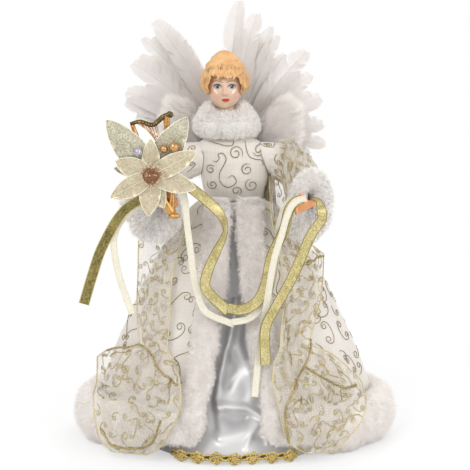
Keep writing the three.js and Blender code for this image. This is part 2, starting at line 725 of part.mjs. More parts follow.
// A sleeve's section at a share of its length: its centre, its two directions and its half sizes
function sleeveSection(a, share) {
  const start = V(bodySide(a) + a.side * gap, 0, shoulder);
  const mouth = V(a.side * a.mouthOut, -arm.mouthForward, shoulder - arm.mouthDrop);
  const bendShare = 0.75;
  const bend = V(mix(start.x, mouth.x, bendShare), start.y, start.z);
  const centre = new THREE.QuadraticBezierCurve3(start, bend, mouth).getPoint(share);
  const mouthFacing = V(a.side * 0.35, -1, -0.2).normalize();
  const facing = V(a.side, 0, 0).lerp(mouthFacing, smooth(share)).normalize();
  const u = facing.clone().cross(upright).normalize();
  const v = u.clone().cross(facing);
  const flare = share ** 1.5;
  return {
    centre, u, v, facing,
    halfWide: mix(arm.sleeveRadiusDeep, a.mouthHalfWidth, flare),
    halfTall: mix(arm.sleeveRadiusTall, arm.mouthTall, flare),
  };
}

function makeSleeve(a) {
  const [rows, columns] = [6, 20];
  const folds = 5;
  const grid = Array.from({ length: rows + 1 }, (_, i) => {
    const share = i / rows;
    const { centre, u, v, halfWide, halfTall } = sleeveSection(a, share);
    const fold = (arm.foldDepth * share) / arm.mouthTall;
    return ringAt(centre, u, v, halfWide, halfTall, columns, (angle) => 1 + fold * Math.cos(folds * angle));
  });
  const leanIn = 0.6; // of the way to the body, over the shoulder
  for (const p of grid[0]) p.x = mix(bodySideAt(a, Math.min(p.z, shoulder)), bodySideAt(a, p.z), leanIn) + a.side * gap;
  return sheet(grid, clothWall, true);
}

function makeCuff(a) {
  const [around, sides] = [22, 8];
  const lumps = 7;
  const { centre, u, v, facing, halfWide, halfTall } = sleeveSection(a, 1);
  const middle = centre.clone().addScaledVector(facing, arm.cuffThick + gap);
  const rings = Array.from({ length: around }, (_, i) => {
    const angle = (turn * i) / around;
    const out = V().addScaledVector(u, Math.cos(angle)).addScaledVector(v, Math.sin(angle));
    const at = middle.clone().addScaledVector(u, halfWide * Math.cos(angle)).addScaledVector(v, halfTall * Math.sin(angle));
    const thick = arm.cuffThick + arm.cuffLump * (Math.cos(lumps * angle) - 1) / 2;
    return ringAt(at, out, facing, thick, thick, sides);
  });
  return loft(rings, true);
}

// A moulded hand: a wrist and palm, four curled fingers side by side and a thumb. Points run forward, to the side of
// the thumb and up from the wrist, in shares of the palm's length.
const palmShares = [
  [-0.5, 0.6, 0.8],
  [0, 0.62, 0.85],
  [0.35, 0.85, 1],
  [0.75, 1, 1],
  [1, 0.9, 0.75],
];

function makeHand(a, forward, thumbSide) {
  const wrist = wristAt(a);
  const side = thumbSide.clone().addScaledVector(forward, -thumbSide.dot(forward)).normalize();
  const palmUp = forward.clone().cross(side);
  const at = (f, s, up) => wrist.clone().addScaledVector(forward, f).addScaledVector(side, s).addScaledVector(palmUp, up);
  const palmSides = 10;
  const palm = loft(palmShares.map(([f, wide, deepShare]) => ringAt(at(f * hand.palmLength, 0, 0), side, palmUp,
    wide * hand.palmHalfWidth, deepShare * hand.palmHalfDepth, palmSides)));
  const pieces = [palm];
  const fingers = 4;
  const reachShares = [0.92, 1, 0.96, 0.8];
  const [fingerSides, fingerSteps] = [6, 3];
  for (let i = 0; i < fingers; i++) {
    const s = mix(1, -1, i / (fingers - 1)) * (hand.palmHalfWidth - hand.fingerRadius);
    const reach = hand.fingerLength * reachShares[i];
    const root = hand.palmLength * 0.85;
    pieces.push(rod(
      [at(root, s, 0), at(root + reach / 2, s, -reach / 10), at(root + reach * 0.85, s, -reach * 0.4),
        at(root + reach * 0.8, s, -reach * 0.75)],
      (share) => hand.fingerRadius * mix(1, 0.75, share), fingerSides, fingerSteps));
  }
  const thumbRoot = at(hand.palmLength * 0.3, hand.palmHalfWidth * 0.4, 0);
  const thumbTip = at(hand.palmLength * 0.3 + hand.thumbLength * 0.55, hand.palmHalfWidth * 0.4 + hand.thumbLength * 0.8, 0);
  const thumbBend = thumbRoot.clone().lerp(thumbTip, 0.5).addScaledVector(side, hand.fingerRadius);
  pieces.push(rod([thumbRoot, thumbBend, thumbTip], (share) => hand.fingerRadius * mix(1.25, 0.85, share),
    fingerSides, fingerSteps));
  return fromSolid(joined(pieces));
}

// The harp: a rope-twisted pillar, an S-shaped neck with a knob, a bowed soundbox and slanting strings, moulded as one
const grip = wristAt(rightArm).add(V(harp.gripInward, -harp.gripAhead, -harp.gripDrop));
const harpAt = (x, z) => V(grip.x + x * harp.width, grip.y, grip.z + z * harp.height);
const neckShares = [[-1, 0.97], [-0.76, 0.995], [-0.46, 0.962], [-0.2, 1.045], [-0.04, 1.07]];
const soundboxShares = [[0, 0.02], [-0.24, 0.2], [-0.48, 0.444], [-0.74, 0.72], [-0.95, 0.96]];

function makeHarp() {
  const [rodSides, neckSteps, boxSteps, pillarSteps] = [6, 10, 6, 15];
  const neckRoute = neckShares.map(([x, z]) => harpAt(x, z));
  const neckRod = rod(neckRoute, (share) => harp.neckRadius * mix(0.8, 1.25, share), rodSides, neckSteps);
  const soundbox = rod(soundboxShares.map(([x, z]) => harpAt(x, z)),
    (share) => mix(harp.soundboxWide, harp.neckRadius, share), rodSides, boxSteps);
  const pillarTop = harpAt(-0.12, 1.05);
  const pillarFoot = harpAt(0, 0);
  const lobes = 4;
  const lobeDepth = 0.14;
  const pillarSides = 12;
  const pillar = loft(Array.from({ length: pillarSteps + 1 }, (_, i) => {
    const share = i / pillarSteps;
    const twist = (turn * harp.pillarTwists * share) / lobes;
    return ringAt(pillarFoot.clone().lerp(pillarTop, share), across, deep, harp.pillarRadius, harp.pillarRadius,
      pillarSides, (angle) => 1 + lobeDepth * Math.cos(lobes * (angle - twist)));
  }));
  const strings = Array.from({ length: harp.strings }, (_, i) => {
    const share = (i + 1) / (harp.strings + 1);
    const top = new THREE.CatmullRomCurve3(neckRoute).getPointAt(mix(0.12, 0.62, share));
    const low = pillarFoot.clone().lerp(pillarTop, mix(0.72, 0.25, share));
    return rod([top, low], () => harp.stringRadius, 5, 1);
  });
  const ballSides = 8;
  const knob = new THREE.SphereGeometry(harp.pillarRadius * 1.1, ballSides, ballSides / 2);
  knob.translate(...harpAt(-0.04, 1.07).toArray());
  const foot = new THREE.SphereGeometry(harp.footLength / 2, ballSides, ballSides / 2);
  foot.scale(1, harp.soundboxDeep / harp.footLength * 2, 1 / 2);
  foot.translate(...harpAt(0.05, -0.01).toArray());
  return fromSolid(joined([neckRod, soundbox, pillar, knob, foot, ...strings]));
}

// A petal or leaf: a cupped blade with a pointed tip, which grows from the flower's middle.
// Its angle runs in the flower's plane from the doll's left.
const flowerMiddle = grip.clone().add(V(-flower.outward, -flower.ahead, flower.above));

function makeBlade(share, back) {
  const angle = THREE.MathUtils.degToRad(share.angle);
  const length = share.length * flower.reach;
  const halfWidth = share.halfWidth * flower.reach;
  const out = V(Math.cos(angle), 0, Math.sin(angle));
  const sideways = V(-out.z, 0, out.x);
  const [rows, columns] = [5, 2];
  const cupShare = 0.12;
  const grid = Array.from({ length: rows + 1 }, (_, i) => {
    const along = i / rows;
    const width = halfWidth * Math.max(0.06, Math.sin(Math.PI * mix(0.12, 1, along) ** 0.85) ** 0.8);
    const r = mix(flower.stemRadius + 2 * gap, length, along);
    return Array.from({ length: columns + 1 }, (_, j) => {
      const s = (2 * j) / columns - 1;
      const cup = cupShare * width * s * s * along;
      return flowerMiddle.clone().addScaledVector(out, r).addScaledVector(sideways, s * width)
        .add(V(0, back - cup, 0));
    });
  });
  return sheet(grid, flower.petalWall);
}

// Petals and leaves: direction in degrees, then length and half width as shares of the flower's reach
const petalShares = [
  { angle: 209, length: 0.921, halfWidth: 0.188 },
  { angle: 158, length: 0.758, halfWidth: 0.194 },
  { angle: 91, length: 0.712, halfWidth: 0.158 },
  { angle: 28, length: 1, halfWidth: 0.188 },
  { angle: -17, length: 0.909, halfWidth: 0.194 },
  { angle: 265, length: 0.806, halfWidth: 0.194 },
  { angle: 290, length: 0.697, halfWidth: 0.139 },
];
const leafShares = [
  { angle: 129, length: 1.394, halfWidth: 0.273 },
  { angle: 58, length: 1.333, halfWidth: 0.258 },
  { angle: 171, length: 0.758, halfWidth: 0.121 },
];
const petalLevels = 3;
const levelStep = flower.petalWall + gap;
const leafLevel = petalLevels + 1; // of the first leaf

function addFlower() {
  petalShares.forEach((petal, i) => {
    const level = i === petalShares.length - 1 ? petalLevels : i % petalLevels;
    addPiece(`petal_${i + 1}`, makeBlade(petal, level * levelStep), "petal", rightArmGroup);
  });
  leafShares.forEach((leaf, i) => {
    addPiece(`leaf_${i + 1}`, makeBlade(leaf, (leafLevel + i) * levelStep), "leaf", rightArmGroup);
  });
}

// The flower's eye: a tight cluster of beads on the wire stem that runs back to the harp
function makeEye() {
  const [columns, rows] = [18, 10];
  const eye = new THREE.SphereGeometry(1, columns, rows).rotateX(Math.PI / 2);
  const position = eye.attributes.position;
  const bumps = 6;
  const rise = flower.petalWall / 2 + gap + flower.eyeBackShare * flower.centreRadius;
  for (let i = 0; i < position.count; i++) {
    const p = V().fromBufferAttribute(position, i);
    const around = Math.atan2(p.z, p.x);
    const bump = 1 + 0.12 * Math.cos(bumps * around) * Math.cos(bumps * Math.acos(THREE.MathUtils.clamp(-p.y, -1, 1)));
    p.multiplyScalar(flower.centreRadius * bump);
    p.y *= p.y < 0 ? 0.8 : flower.eyeBackShare;
    position.setXYZ(i, ...p.add(flowerMiddle).add(V(0, -rise, 0)));
  }
  const stemSides = 10;
  const stemFront = flowerMiddle.y - rise - flower.centreRadius / 4;
  const stemBack = grip.y - harp.soundboxDeep - gap;
  const stem = new THREE.CylinderGeometry(flower.stemRadius, flower.stemRadius, stemBack - stemFront, stemSides);
  stem.translate(flowerMiddle.x, (stemFront + stemBack) / 2, flowerMiddle.z);
  return fromSolid(joined([eye, stem]));
}

// Berries rest on the leaves: a share of the largest one's size, a place in flower lengths and the leaf's number.
const berryShares = {
  gold_berry_large: [1, 0.45, 0.56, 1],
  gold_berry_small: [berry.smallShare, 0.248, 0.52, 1],
  pearl_berry: [berry.pearlShare, -0.26, 0.467, 0],
};

function makeBerry([share, right, up, leafNumber]) {
  const [columns, rows] = [12, 8];
  const ball = new THREE.SphereGeometry(berry.radius * share, columns, rows);
  const leafFront = (leafLevel + leafNumber) * levelStep - flower.petalWall / 2 - 2 * gap;
  ball.translate(flowerMiddle.x + right * flower.reach, flowerMiddle.y + leafFront - berry.radius * share,
    flowerMiddle.z + up * flower.reach);
  return ball;
}

// Wings. Each feather runs from its wing's hub to a tip: [out, up] as shares of the wing's span and rise, its half
// width as a share of the span, and its level in the stack.
const longShares = {
  right: [[0.62, 0.86, 0.085], [0.5, 0.8, 0.07], [0.74, 0.74, 0.03], [0.63, 0.75, 0.04], [0.76, 0.62, 0.06]],
  left: [[-0.02, 1, 0.075], [0.14, 0.91, 0.085], [0.28, 0.82, 0.05], [0.34, 0.76, 0.045], [0.4, 0.63, 0.05]],
};
const shortShares = {
  right: [[0.83, 0.57, 0.085], [0.89, 0.37, 0.085], [0.9, 0.3, 0.08], [0.8, 0.2, 0.08], [0.68, 0.14, 0.07]],
  left: [[0.61, 0.65, 0.085], [0.65, 0.49, 0.075], [0.74, 0.33, 0.085], [0.77, 0.14, 0.07], [0.79, 0, 0.06],
    [0.64, -0.08, 0.07]],
};
const featherStep = wing.featherWall + gap;
const bodiceBack = torso.halfDepth + gap + clothWall;
const cardBack = bodiceBack + gap + wing.card;
const shortHub = cardBack + gap;
const hubDepth = wing.levels * featherStep;
const longHub = shortHub + hubDepth + gap;
const quills = shoulder + wing.rootRise;
const wingRoot = (side) => leanAt(quills) + side * (wing.hubRadius + gap);

function makeFeather(side, hubFront, [out, up, widthShare], level) {
  const root = V(wingRoot(side), hubFront + (level + 1 / 2) * featherStep, quills);
  const tip = V(wingRoot(side) + side * out * wing.span, root.y, root.z + up * wing.rise);
  const length = root.distanceTo(tip);
  const dir = tip.clone().sub(root).normalize();
  const sideways = V(-dir.z, 0, dir.x).multiplyScalar(side);
  const bend = length * 0.06;
  const [rows, columns] = [5, 2];
  const halfWidth = widthShare * wing.span;
  const quillShare = 0.3;
  const tipShare = 0.86;
  const grid = Array.from({ length: rows + 1 }, (_, i) => {
    const share = i / rows;
    const grow = mix(quillShare, 1, smooth(share / 0.5));
    const round = share < tipShare ? 1 : dome((share - tipShare) / (1.02 - tipShare));
    const width = halfWidth * grow * round;
    const back = wing.sweep * share ** 2;
    const arc = bend * Math.sin(Math.PI * share);
    return Array.from({ length: columns + 1 }, (_, j) => {
      const s = (2 * j) / columns - 1;
      return root.clone().addScaledVector(dir, share * length).addScaledVector(sideways, arc + s * width)
        .add(V(0, back, 0));
    });
  });
  return sheet(grid, wing.featherWall);
}

function makeFan(side, hubFront, shares) {
  const hubSides = 16;
  const hub = new THREE.CylinderGeometry(wing.hubRadius, wing.hubRadius, hubDepth, hubSides);
  hub.translate(wingRoot(side), hubFront + hubDepth / 2, quills);
  const feathers = shares.map((share, i) => makeFeather(side, hubFront, share, i % wing.levels));
  return fromSolid(joined([hub, ...feathers]));
}

// The card that the quills are glued to, and the felt patch that covers them behind
function roundedPlate(halfWidth, height, thickness, front, middle) {
  const shape = new THREE.Shape();
  const round = halfWidth / 3;
  shape.moveTo(-halfWidth + round, -height / 2);
  shape.lineTo(halfWidth - round, -height / 2);
  shape.quadraticCurveTo(halfWidth, -height / 2, halfWidth, -height / 2 + round);
  shape.lineTo(halfWidth, height / 2 - round);
  shape.quadraticCurveTo(halfWidth, height / 2, halfWidth - round, height / 2);
  shape.lineTo(-halfWidth + round, height / 2);
  shape.quadraticCurveTo(-halfWidth, height / 2, -halfWidth, height / 2 - round);
  shape.lineTo(-halfWidth, -height / 2 + round);
  shape.quadraticCurveTo(-halfWidth, -height / 2, -halfWidth + round, -height / 2);
  const curveSegments = 4;
  const plateShape = new THREE.ExtrudeGeometry(shape, { depth: thickness, bevelEnabled: false, curveSegments });
  plateShape.rotateX(Math.PI / 2);
  plateShape.translate(leanAt(quills), front + thickness, middle);
  return plateShape;
}

// Fluffy down beside the body, in front of the short feathers
function makeDown(side) {
  const [columns, rows] = [14, 8];
  const pad = new THREE.SphereGeometry(1, columns, rows).rotateX(Math.PI / 2);
  const position = pad.attributes.position;
  const lumps = 7;
  for (let i = 0; i < position.count; i++) {
    const p = V().fromBufferAttribute(position, i);
    const lump = 1 + 0.06 * (Math.cos(lumps * Math.atan2(p.z, p.x)) - 1);
    p.set(p.x * down.halfWidth * lump, p.y * down.thick, p.z * down.halfHeight * lump);
    position.setXYZ(i, ...p.toArray());
  }
  pad.rotateY(side * 0.25);
  const x = leanAt(quills) + side * (wing.cardHalfWidth + down.halfWidth);
  pad.translate(x, shortHub - gap - down.thick, quills + down.halfHeight / 5);
  return pad;
}

// What lies furthest forward at a place on the robe's front: the coat, a fur band or the hem fur
function robeFront(x, z) {
  let front = coatFrontAt(x, z) - clothWall / 2;
  for (const side of [-1, 1]) {
    const middle = bandCentre(side, z);
    const off = (x - middle) / frontFur.halfWidth;
    if (z < waist && Math.abs(off) < 1)
      front = Math.min(front, coatFrontAt(middle, z) - coatWallAt - frontFur.thick * (1 + dome(off)));
  }
  const angle = Math.asin(THREE.MathUtils.clamp(x / hemFur.halfWidth, -1, 1));
  const { depth, thick, tall, middle } = hemSection(angle);
  const up = (z - middle) / tall;
  if (Math.abs(x) > hemFur.endX && Math.abs(up) < 1)
    front = Math.min(front, -depth * Math.cos(angle) - thick * dome(up));
  return front;
}

// The same for cloth, which spans from bump to bump: the furthest forward that lies within its reach
function underCloth(x, z, reach) {
  const steps = [-reach, 0, reach];
  return Math.min(...steps.flatMap((dx) => steps.map((dz) => robeFront(x + dx, z + dz))));
}

// Ribbons: flat strips that hang from a wrist in front of the robe. Each row of a route holds the place across, as a
// share of the wrist's distance from the middle, the place up from the wrist, as a share of the harp's height or, below
// it, of the wrist's own, and how far the strip is turned edge-on. A fourth share brings it back to the wrist.
// Layers keep crossing strips apart.
const routeShares = {
  gold_swag_right: [[-0.676, 0.262, 0.1], [-0.516, 0.164, 0.1], [-0.307, 0.018, 0.2],
    [-0.178, -0.039, 0.5], [-0.129, -0.092, 0.7], [-0.241, -0.174, 0.3], [-0.356, -0.253, 0.1],
    [-0.383, -0.317, 0.1], [-0.142, -0.395, 0.1]],
  gold_swag_left: [[-0.091, -0.397, 0.1], [0.08, -0.404, 0.15], [0.278, -0.375, 0.15],
    [0.387, -0.317, 0.15], [0.476, -0.202, 0.15], [0.654, -0.08, 0.15], [0.713, -0.01, 0.2]],
  cream_swag_right: [[-0.697, 0.213, 0], [-0.647, 0.051, 0.1], [-0.627, -0.057, 0.15],
    [-0.58, -0.174, 0.15], [-0.519, -0.306, 0.1], [-0.392, -0.41, 0.1], [-0.079, -0.456, 0.1]],
  cream_swag_left: [[-0.046, -0.456, 0.1], [0.194, -0.439, 0.1], [0.376, -0.381, 0.1],
    [0.476, -0.317, 0.1], [0.553, -0.161, 0.1], [0.603, -0.051, 0.1]],
  gold_tail_right: [[-1.148, 0.108, 0.2], [-1.432, -0.016, 0.2], [-1.72, -0.155, 0.1], [-1.854, -0.265, 0],
    [-1.973, -0.381, 0]],
  cream_tail_right: [[-0.975, 0.026, 0], [-1.195, 0.005, 0.05], [-1.423, -0.039, 0.1],
    [-1.569, -0.12, 0.1], [-1.527, -0.253, 0.1], [-1.423, -0.357, 0.1], [-1.344, -0.421, 0.1]],
  gold_tail_left: [[1.002, 0.055, 1, 0.15], [1.075, 0.051, 0.8, 0.68], [1.123, -0.008, 0.3],
    [1.13, -0.045, 0.2], [1.009, -0.098, 0.1], [0.751, -0.271, 0.1], [0.506, -0.404, 0.15],
    [0.405, -0.468, 0.15], [0.403, -0.612, 0.1]],
  cream_tail_left: [[0.674, -0.039, 0.1], [0.615, -0.103, 0.1], [0.515, -0.202, 0.1], [0.405, -0.398, 0.1],
    [0.326, -0.549, 0.1], [0.257, -0.734, 0]],
};
const ribbonLayers = {
  cream_swag_right: 0, cream_swag_left: 0, cream_tail_right: 0,
  gold_swag_right: 1, gold_swag_left: 1, gold_tail_right: 1,
  cream_tail_left: 2, gold_tail_left: 3,
};

function makeRibbon(name) {
  const width = name.startsWith("gold") ? ribbon.goldWidth : ribbon.creamWidth;
  const a = name.endsWith("left") ? leftArm : rightArm;
  const wrist = wristAt(a);
  const rows = routeShares[name];
  const layer = ribbonLayers[name] * ribbon.layerStep;
  const curve = new THREE.CatmullRomCurve3(rows.map(([across, up, , held]) => {
    const [x, z] = [across * a.wristOut, wrist.z + up * (up > 0 ? harp.height : wrist.z)];
    const front = Math.min(wrist.y - a.ribbonsAhead, underCloth(x, z, ribbon.reach) - ribbon.clear) - layer;
    return V(x, held ? wrist.y - a.ribbonsAhead * held : front, z);
  }));
  const spans = rows.length - 1;
  const steps = 2 * spans;
  const strip = Array.from({ length: steps + 1 }, (_, i) => {
    const p = curve.getPoint(i / steps);
    const t = curve.getTangent(i / steps);
    const k = Math.min(Math.floor(i / 2), spans - 1);
    const edge = (mix(rows[k][2], rows[k + 1][2], i / 2 - k) * Math.PI) / 2;
    const half = V(-t.z, 0, t.x).setLength(Math.cos(edge)).add(V(0, Math.sin(edge), 0)).multiplyScalar(width / 2);
    return [p.clone().sub(half), p.clone().add(half)];
  });
  return sheet(strip, ribbonWall);
}

// The organza stole comes out between sleeve and bodice, hangs down the coat, is drawn in with a stitch and flares
// over the hem fur. Each row holds its two edges and its height, as shares of the hem's half width and the waist.
const stoleShares = {
  right: [[-0.33, -0.27, 0.952], [-0.435, -0.287, 0.899], [-0.583, -0.313, 0.839], [-0.587, -0.365, 0.744],
    [-0.591, -0.383, 0.613], [-0.583, -0.391, 0.5], [-0.574, -0.4, 0.44], [-0.73, -0.365, 0.399],
    [-0.843, -0.322, 0.345], [-0.843, -0.313, 0.25], [-0.826, -0.365, 0.155], [-0.8, -0.435, 0.071],
    [-0.73, -0.522, 0.03]],
  left: [[0.209, 0.268, 1.137], [0.209, 0.268, 1.047], [0.217, 0.3, 0.952], [0.243, 0.348, 0.869],
    [0.27, 0.539, 0.78], [0.287, 0.53, 0.702], [0.287, 0.513, 0.613], [0.27, 0.478, 0.536], [0.261, 0.452, 0.452],
    [0.226, 0.574, 0.399], [0.217, 0.678, 0.333], [0.243, 0.765, 0.262], [0.27, 0.757, 0.179],
    [0.304, 0.678, 0.101], [0.417, 0.574, 0.042]],
};

function makeStole(rows) {
  const columns = 7;
  const grid = rows.map(([from, to, up]) => Array.from({ length: columns + 1 }, (_, j) => {
    const share = j / columns;
    const [x, z] = [mix(from, to, share) * hemFur.halfWidth, up * waist];
    const fold = stole.foldDepth * (1 - Math.cos(turn * stole.folds * share)) / 2 * up;
    return V(x, Math.min(underCloth(x, z, stole.reach), -stole.forward) - stole.clear - fold, z);
  }));
  return sheet(grid, stole.wall);
}

addPiece("base_cone", makeCone(), "cardboard");
addPiece("cone_cap", makeCap(), "cardboard");
addPiece("torso", makeTorso(), "padding");
addPiece("head", makeHead(), "skin");
addPiece("hair", makeHair(), "hair");
addPiece("fur_collar", makeCollar(), "fur");
addPiece("bodice", makeBodice(), "scrollCloth");
addPiece("satin_underskirt", makeSatin(), "satin");
addPiece("gimp_trim", makeTrim(), "gimp");
addPiece("coat_skirt", makeCoat(), "scrollCloth");
addPiece("coat_hem_fur", makeHemFur(), "fur");
addPiece("front_fur_right", makeFrontFur(-1), "fur");
addPiece("front_fur_left", makeFrontFur(1), "fur");
const rightHandForward = V(0.55, -0.83, 0.1).normalize();
const leftHandForward = V(-0.85, -0.5, -0.15).normalize();
for (const [name, a, forward] of [["right", rightArm, rightHandForward], ["left", leftArm, leftHandForward]]) {
  addPiece(`arm_wire_${name}`, makeArmWire(a, forward), "wire", armGroup(a));
  addPiece(`hand_${name}`, makeHand(a, forward, upright), "handSkin", armGroup(a));
  addPiece(`sleeve_${name}`, makeSleeve(a), "scrollCloth", armGroup(a));
  addPiece(`cuff_fur_${name}`, makeCuff(a), "fur", armGroup(a));
}
addPiece("harp", makeHarp(), "harpGold", rightArmGroup);
addFlower();
addPiece("flower_eye", makeEye(), "flowerEye", rightArmGroup);
for (const [name, place] of Object.entries(berryShares))
  addPiece(name, makeBerry(place), name === "pearl_berry" ? "pearl" : "goldBerry", rightArmGroup);
addPiece("wing_card", roundedPlate(wing.cardHalfWidth, wing.cardHeight, wing.card, bodiceBack + gap,
  quills - wing.cardDrop), "cardboard");
for (const [name, side] of [["right", -1], ["left", 1]]) {
  addPiece(`wing_${name}_short_feathers`, makeFan(side, shortHub, shortShares[name]), "feather");
  addPiece(`wing_${name}_long_feathers`, makeFan(side, longHub, longShares[name]), "feather");
  addPiece(`wing_${name}_down`, makeDown(side), "down");
}
addPiece("wing_patch", roundedPlate(wing.cardHalfWidth, wing.patchHeight, wing.patch, longHub + hubDepth + gap,
  quills), "padding");
for (const name of Object.keys(routeShares)) {
  const group = name.endsWith("left") ? leftArmGroup : rightArmGroup;
  addPiece(name, makeRibbon(name), name.startsWith("gold") ? "goldRibbon" : "creamRibbon", group);
}
addPiece("stole_right", makeStole(stoleShares.right), "organza");
addPiece("stole_left", makeStole(stoleShares.left), "organza");

export default angel;
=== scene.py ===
import math

import bpy
import numpy as np
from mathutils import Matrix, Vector, kdtree


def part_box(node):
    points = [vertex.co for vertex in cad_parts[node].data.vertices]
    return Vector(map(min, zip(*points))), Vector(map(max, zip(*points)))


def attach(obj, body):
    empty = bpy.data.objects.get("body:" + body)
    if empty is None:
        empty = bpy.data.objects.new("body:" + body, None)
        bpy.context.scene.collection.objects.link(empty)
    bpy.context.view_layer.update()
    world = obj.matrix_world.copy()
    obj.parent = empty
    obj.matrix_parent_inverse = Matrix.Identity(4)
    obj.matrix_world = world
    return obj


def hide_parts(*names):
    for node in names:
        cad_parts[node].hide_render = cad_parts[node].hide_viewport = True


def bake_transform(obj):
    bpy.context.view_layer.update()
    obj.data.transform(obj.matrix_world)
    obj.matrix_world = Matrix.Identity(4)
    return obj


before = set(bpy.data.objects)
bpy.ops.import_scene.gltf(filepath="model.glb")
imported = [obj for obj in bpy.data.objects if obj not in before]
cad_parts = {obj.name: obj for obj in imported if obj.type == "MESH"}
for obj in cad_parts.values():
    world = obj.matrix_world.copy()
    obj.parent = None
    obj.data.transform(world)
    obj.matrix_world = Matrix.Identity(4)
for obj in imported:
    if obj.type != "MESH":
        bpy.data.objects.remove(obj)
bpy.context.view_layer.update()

# Lengths in this file are millimetres, turned into metres where a mesh is made.
MM = 0.001
TURN = 2 * math.pi
rng = np.random.default_rng(12)

# Camera
CAMERA_BACK = 1100
CAMERA_RISE = 330
CAMERA_PITCH = 9.69
CAMERA_LENS = 121.4
CAMERA_SENSOR = 36
camera_data = bpy.data.cameras.new("camera")
camera_data.sensor_width = CAMERA_SENSOR
camera_data.lens = CAMERA_LENS
camera = bpy.data.objects.new("camera", camera_data)
camera.location = (0, -CAMERA_BACK * MM, CAMERA_RISE * MM)
camera.rotation_euler = (math.radians(90 - CAMERA_PITCH), 0, 0)
bpy.context.scene.collection.objects.link(camera)
bpy.context.scene.camera = camera

# Directions
UP = np.array([0, 0, 1.0])
BACK = np.array([0, 1.0, 0])


# Small helpers
def mix(a, b, t):
    return a + (b - a) * t


def smooth(x):
    x = np.clip(x, 0, 1)
    return x * x * (3 - 2 * x)


def dome(x):
    return np.sqrt(np.maximum(0, 1 - np.square(x)))


def read_table(table, at, column=1):
    """A value between the rows [at, value, ...] of a table, eased at each row."""
    at = np.asarray(at, float)
    table = np.asarray(table, float)
    k = np.clip(np.searchsorted(table[:, 0], at, side="right") - 1, 0, len(table) - 2)
    t = smooth((at - table[k, 0]) / (table[k + 1, 0] - table[k, 0]))
    return mix(table[k, column], table[k + 1, column], t)


def unit(v):
    v = np.asarray(v, float)
    return v / np.maximum(np.linalg.norm(v, axis=-1, keepdims=True), 1e-9)


def stack(x, y, z):
    return np.stack(np.broadcast_arrays(x, y, z), -1).astype(float)


def pushed_out(points, centre, rise):
    """Points moved away from a centre."""
    return points + unit(points - centre) * rise[..., None]


def wave_noise(points, scale, seed):
    """Soft noise from sums of sines, about -1 to 1, at a wavelength of scale millimetres."""
    picker = np.random.default_rng(seed)
    points = np.asarray(points, float)
    total = np.zeros(points.shape[:-1])
    for weight in (1.0, 0.5, 0.25):
        for _ in range(4):
            direction = unit(picker.normal(size=3))
            phase = picker.uniform(0, TURN)
            total += weight * np.sin(points @ direction * TURN / (scale * weight) + phase) / 3
    return total


def grid_quads(rows, columns, wrap_rows=False, wrap_columns=False):
    i, j = np.meshgrid(
        np.arange(rows if wrap_rows else rows - 1),
        np.arange(columns if wrap_columns else columns - 1),
        indexing="ij",
    )
    k = (i + 1) % rows
    m = (j + 1) % columns
    return np.stack([i * columns + j, i * columns + m, k * columns + m, k * columns + j], -1).reshape(-1, 4)


class Soup:
    """Gathers points and faces of many small parts for one piece."""

    def __init__(self):
        self.points = []
        self.faces = []
        self.values = []
        self.count = 0

    def add(self, points, faces, value=0.5):
        points = np.asarray(points, float).reshape(-1, 3)
        self.points.append(points)
        self.values.append(np.broadcast_to(np.asarray(value, float), (len(points),)))
        for f in faces if isinstance(faces, list) else [faces]:
            self.faces.append(np.asarray(f) + self.count)
        self.count += len(points)

    def piece(self, name, material, body=None, replaces=(), slot=None):
        value = np.concatenate(self.values)
        return add_mesh(name, np.concatenate(self.points), self.faces, material, body, replaces, value)


def add_mesh(name, points, faces, material, body, replaces, value=None, uv=None):
    """A new piece from points in millimetres and lists of equal-sided faces."""
    if not isinstance(faces, list):
        faces = [faces]
    points = np.asarray(points, float).reshape(-1, 3)
    mesh = bpy.data.meshes.new(name)
    mesh.vertices.add(len(points))
    mesh.vertices.foreach_set("co", (points * MM).astype(np.float32).ravel())
    loops = np.concatenate([f.ravel() for f in faces])
    counts = np.concatenate([np.full(len(f), f.shape[1]) for f in faces])
    starts = np.concatenate([[0], np.cumsum(counts)[:-1]])
    mesh.loops.add(len(loops))
    mesh.loops.foreach_set("vertex_index", loops.astype(np.int32))
    mesh.polygons.add(len(counts))
    mesh.polygons.foreach_set("loop_start", starts.astype(np.int32))
    mesh.polygons.foreach_set("use_smooth", np.full(len(counts), True))
    if uv is not None:
        layer = mesh.uv_layers.new(name="cloth")
        layer.data.foreach_set("uv", (np.asarray(uv, float).reshape(-1, 2)[loops]).astype(np.float32).ravel())
    if value is not None:
        add_shade(mesh, value)
    mesh.update(calc_edges=True)
    mesh.validate()
    mesh.materials.append(material)
    piece = bpy.data.objects.new(name, mesh)
    bpy.context.scene.collection.objects.link(piece)
    if body:
        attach(piece, body)
    if replaces:
        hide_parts(*replaces)
    return piece


def add_shade(mesh, value):
    """A value from 0 to 1 at each point, which the materials read."""
    attribute = mesh.attributes.new("shade", "FLOAT", "POINT")
    attribute.data.foreach_set("value", np.asarray(value, np.float32).ravel())


def frames_along(path):
    """Two directions across a path at each of its points, turned as little as possible."""
    tangents = unit(np.gradient(path, axis=0))
    side = np.zeros_like(path)
    start = np.array([0, 0, 1.0]) if abs(tangents[0, 2]) < 0.9 else np.array([1.0, 0, 0])
    now = unit(np.cross(tangents[0], start))
    for i, t in enumerate(tangents):
        now = unit(now - t * (now @ t))
        side[i] = now
    return side, np.cross(tangents, side)


def turns(count):
    """Angles of count places round a circle."""
    return np.arange(count) * TURN / count


def rings_round(centre, u, v, wide, tall, sides):
    """Rings of points round the places of a path, with half sizes wide along u and tall along v."""
    turn = turns(sides)[None, :, None]
    u, v = (np.broadcast_to(way, centre.shape)[:, None] for way in (u, v))
    wide, tall = (np.broadcast_to(size, (len(centre),))[:, None, None] for size in (wide, tall))
    return centre[:, None] + wide * np.cos(turn) * u + tall * np.sin(turn) * v


